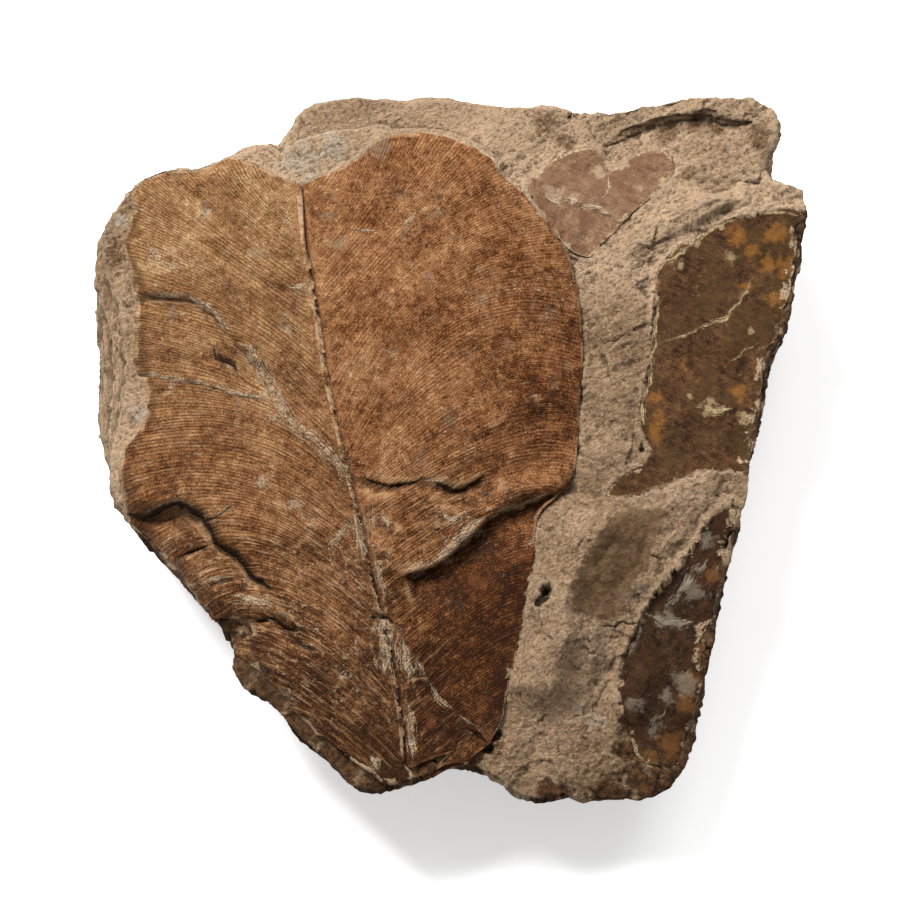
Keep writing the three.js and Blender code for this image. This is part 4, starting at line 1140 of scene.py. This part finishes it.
def stone_piece(base, frame_leaf, leaf, small_films, material):
    """The stone: chipped and grainy where it shows, bedded down its sides, and clear of the films on it."""
    bm = base.copy()

    def wanted(middles, normals):
        top = normals[:, 2] > 0.45
        under = np.zeros(len(middles), bool)
        for tree in [frame_leaf] + small_films:
            under[top] |= np.isfinite(cover(tree, middles[top]))
        size = np.where(top, FACE_MESH, WALL_MESH)
        size = np.where(under, COVERED_MESH, size)
        return np.where(middles[:, 2] < FOOT_HEIGHT, FOOT_MESH, size)

    refine(bm, wanted, SPLITS)
    points = places(bm)
    normals = directions(bm)
    crooked = wander(points[:, :2], 1.5, 6, 91)
    top = smooth(normals[:, 2], 0.35, 0.7)
    near_leaf = 1 - smooth(margin_distance([frame_leaf], points), 0, 2.4)
    near_small = 1 - smooth(margin_distance(small_films, points), 0, 2.4)
    open_side = smooth(points[:, 0], OPEN_MARGIN - 6, OPEN_MARGIN + 2)
    flush = FILM_RISE * np.maximum(0.9 * near_small, near_leaf * (1 - 0.6 * open_side))
    crack, crack_near, _ = line_field(crooked, STONE_CRACKS)
    pit = spot_field(crooked, STONE_PITS)
    impression = inside_field(wander(points[:, :2], 0.6, 4, 97), IMPRESSION)
    upward = crest_heights(crooked, STONE_CRESTS) + ridge_heights(crooked, STONE_RIDGES)
    upward += edge_heights(points[:, :2], [(RIGHT_LEAF_RIM, 0, 1, RIM_LIP)])
    upward -= 0.4 * crack_near * (1 - smooth(np.abs(crack), 0.4, 1.6))
    upward -= 1.3 * smooth(pit, 0, 0.7)
    upward = top * (upward + flush)
    turned = points @ np.array([[0.9, -0.44, 0], [0.44, 0.9, 0], [0, 0, 1]])
    striae = smooth(points[:, 1], 0, 20) * clouds(turned * (0.09, 0.8, 0.3), 1, 3, 61)
    move = 0.9 * clouds(points, 14, 3, 3) + 1.2 * chips(points, 9, 2) + 0.55 * chips(points, 3.4, 7)
    move += 0.3 * clouds(points, 2.4, 3, 9) + 0.22 * clouds(points, 0.9, 2, 5) + top * 0.35 * striae
    even = smooth(spot_field(crooked, STONE_SMOOTH), 0, 0.5)
    move *= 1 - 0.6 * np.maximum(even, smooth(impression, -1, 2))
    beds = clouds(points * (0.03, 0.03, 0.55), 1, 3, 21)
    move += (1 - top) * (1.1 * beds + 0.9 * chips(points * (0.45, 0.45, 1), 5, 13))
    move *= smooth(points[:, 2], 0.05, 1.2)
    points = points + normals * move[:, None]
    points[:, 2] += upward
    facing_up = normals[:, 2] > 0.2
    ceiling = np.full(len(points), np.inf)
    ceiling[facing_up] = cover(leaf, points[facing_up])
    below = np.flatnonzero(np.isfinite(ceiling))
    for x, y in ((2, 0), (-2, 0), (0, 2), (0, -2)):
        ceiling[below] = np.minimum(ceiling[below], cover(leaf, points[below] + (x, y, 0)))
    ceiling -= FILM_DEPTH + LARGE_FILM_GAP
    for tree in small_films:
        lowest = cover(tree, points[facing_up]) - SMALL_FILM_GAP
        ceiling[facing_up] = np.minimum(ceiling[facing_up], lowest)
    points[:, 2] = np.maximum(np.minimum(points[:, 2], ceiling), 0)
    set_places(bm, points)
    keep(bm, hollow=hollows(bm, 4), wall=1 - top, crack=crack, crack_near=crack_near * top, pit=pit * top,
         stain=spot_field(crooked, STONE_STAINS), crust=spot_field(crooked, STONE_CRUSTS),
         front=spot_field(crooked, FRONT_EDGE_SHADE), tone=tone_field(crooked, STONE_TONES),
         impression=impression * top)
    as_piece(bm, "stone", material, "matrix")


def add_light(name, place, size, power):
    light = bpy.data.lights.new(name, "AREA")
    light.shape = "SQUARE"
    light.size = size
    light.energy = power
    lamp = bpy.data.objects.new(name, light)
    lamp.location = place
    lamp.rotation_euler = (LIGHT_AIM - Vector(place)).to_track_quat("-Z", "Y").to_euler()
    bpy.context.scene.collection.objects.link(lamp)


def studio():
    """White floor, soft light from behind and above, and the camera."""
    bpy.ops.mesh.primitive_plane_add(size=FLOOR_SIZE)
    floor = bpy.context.object
    floor.name = "floor"
    paper, shade = new_material("white_floor")
    sockets = {"Base Color": FLOOR_WHITE, "Roughness": 1.0, "Specular IOR Level": 0.0,
               "Emission Color": WHITE, "Emission Strength": FLOOR_GLOW}
    surface = shade.node("ShaderNodeBsdfPrincipled", {}, sockets)
    shade.node("ShaderNodeOutputMaterial", {}, {"Surface": surface})
    floor.data.materials.append(paper)

    world = bpy.data.worlds.new("studio")
    world.use_nodes = True
    background = world.node_tree.nodes["Background"]
    background.inputs["Color"].default_value = WHITE
    background.inputs["Strength"].default_value = FILL
    scene = bpy.context.scene
    scene.world = world
    scene.view_settings.view_transform = "Standard"
    add_light("key", KEY_PLACE, KEY_SIZE, KEY_POWER)
    add_light("side", SIDE_PLACE, SIDE_SIZE, SIDE_POWER)

    camera = bpy.data.objects.new("camera", bpy.data.cameras.new("camera"))
    scene.collection.objects.link(camera)
    tilt = math.radians(CAMERA_ELEVATION)
    camera.location = CAMERA_AIM + CAMERA_DISTANCE * Vector((0, -math.cos(tilt), math.sin(tilt)))
    camera.rotation_euler = (math.pi / 2 - tilt, 0, 0)
    camera.data.sensor_width = SENSOR
    camera.data.lens = SENSOR * CAMERA_DISTANCE / PICTURE_WIDTH
    camera.data.dof.use_dof = False
    scene.camera = camera


studio()

leaf_tree = node_tree("main_leaf")
base_stone = smoothed(merged_copy("matrix"), 1, STONE_KEEP_ANGLE)
base_tree = BVHTree.FromBMesh(base_stone)
leaf_cover = main_leaf_piece(base_stone, leaf_tree, leaf_film())
upper_film = film_finish(
    "pale_leaf_film", [colour(92, 66, 47), colour(126, 95, 71), colour(154, 123, 96)], colour(120, 87, 64),
    colour(98, 69, 49), colour(196, 172, 142), colour(168, 141, 111), 0.35)
right_film = film_finish(
    "dark_leaf_film", [colour(40, 25, 14), colour(73, 48, 29), colour(104, 73, 45)], colour(73, 54, 30),
    colour(142, 94, 42), colour(186, 162, 122), colour(158, 132, 103), 0.5)
lower_film = film_finish(
    "worn_leaf_film", [colour(28, 17, 9), colour(53, 35, 21), colour(82, 59, 39)], colour(60, 36, 20),
    colour(112, 74, 38), colour(142, 128, 110), colour(134, 111, 85), -0.9)
small_trees = [
    small_film_piece("upper_leaf", upper_film, base_tree, UPPER_SPREAD,
                     UPPER_PALE, UPPER_SPOTS, UPPER_CRUSTS),
    small_film_piece("right_leaf", right_film, base_tree, EDGE_SPREAD,
                     RIGHT_PALE, RIGHT_SPOTS, RIGHT_CRUSTS),
    small_film_piece("lower_leaf", lower_film, base_tree, EDGE_SPREAD,
                     LOWER_PALE, LOWER_SPOTS, LOWER_CRUSTS),
]
stone_piece(base_stone, leaf_tree, leaf_cover, small_trees, siltstone())
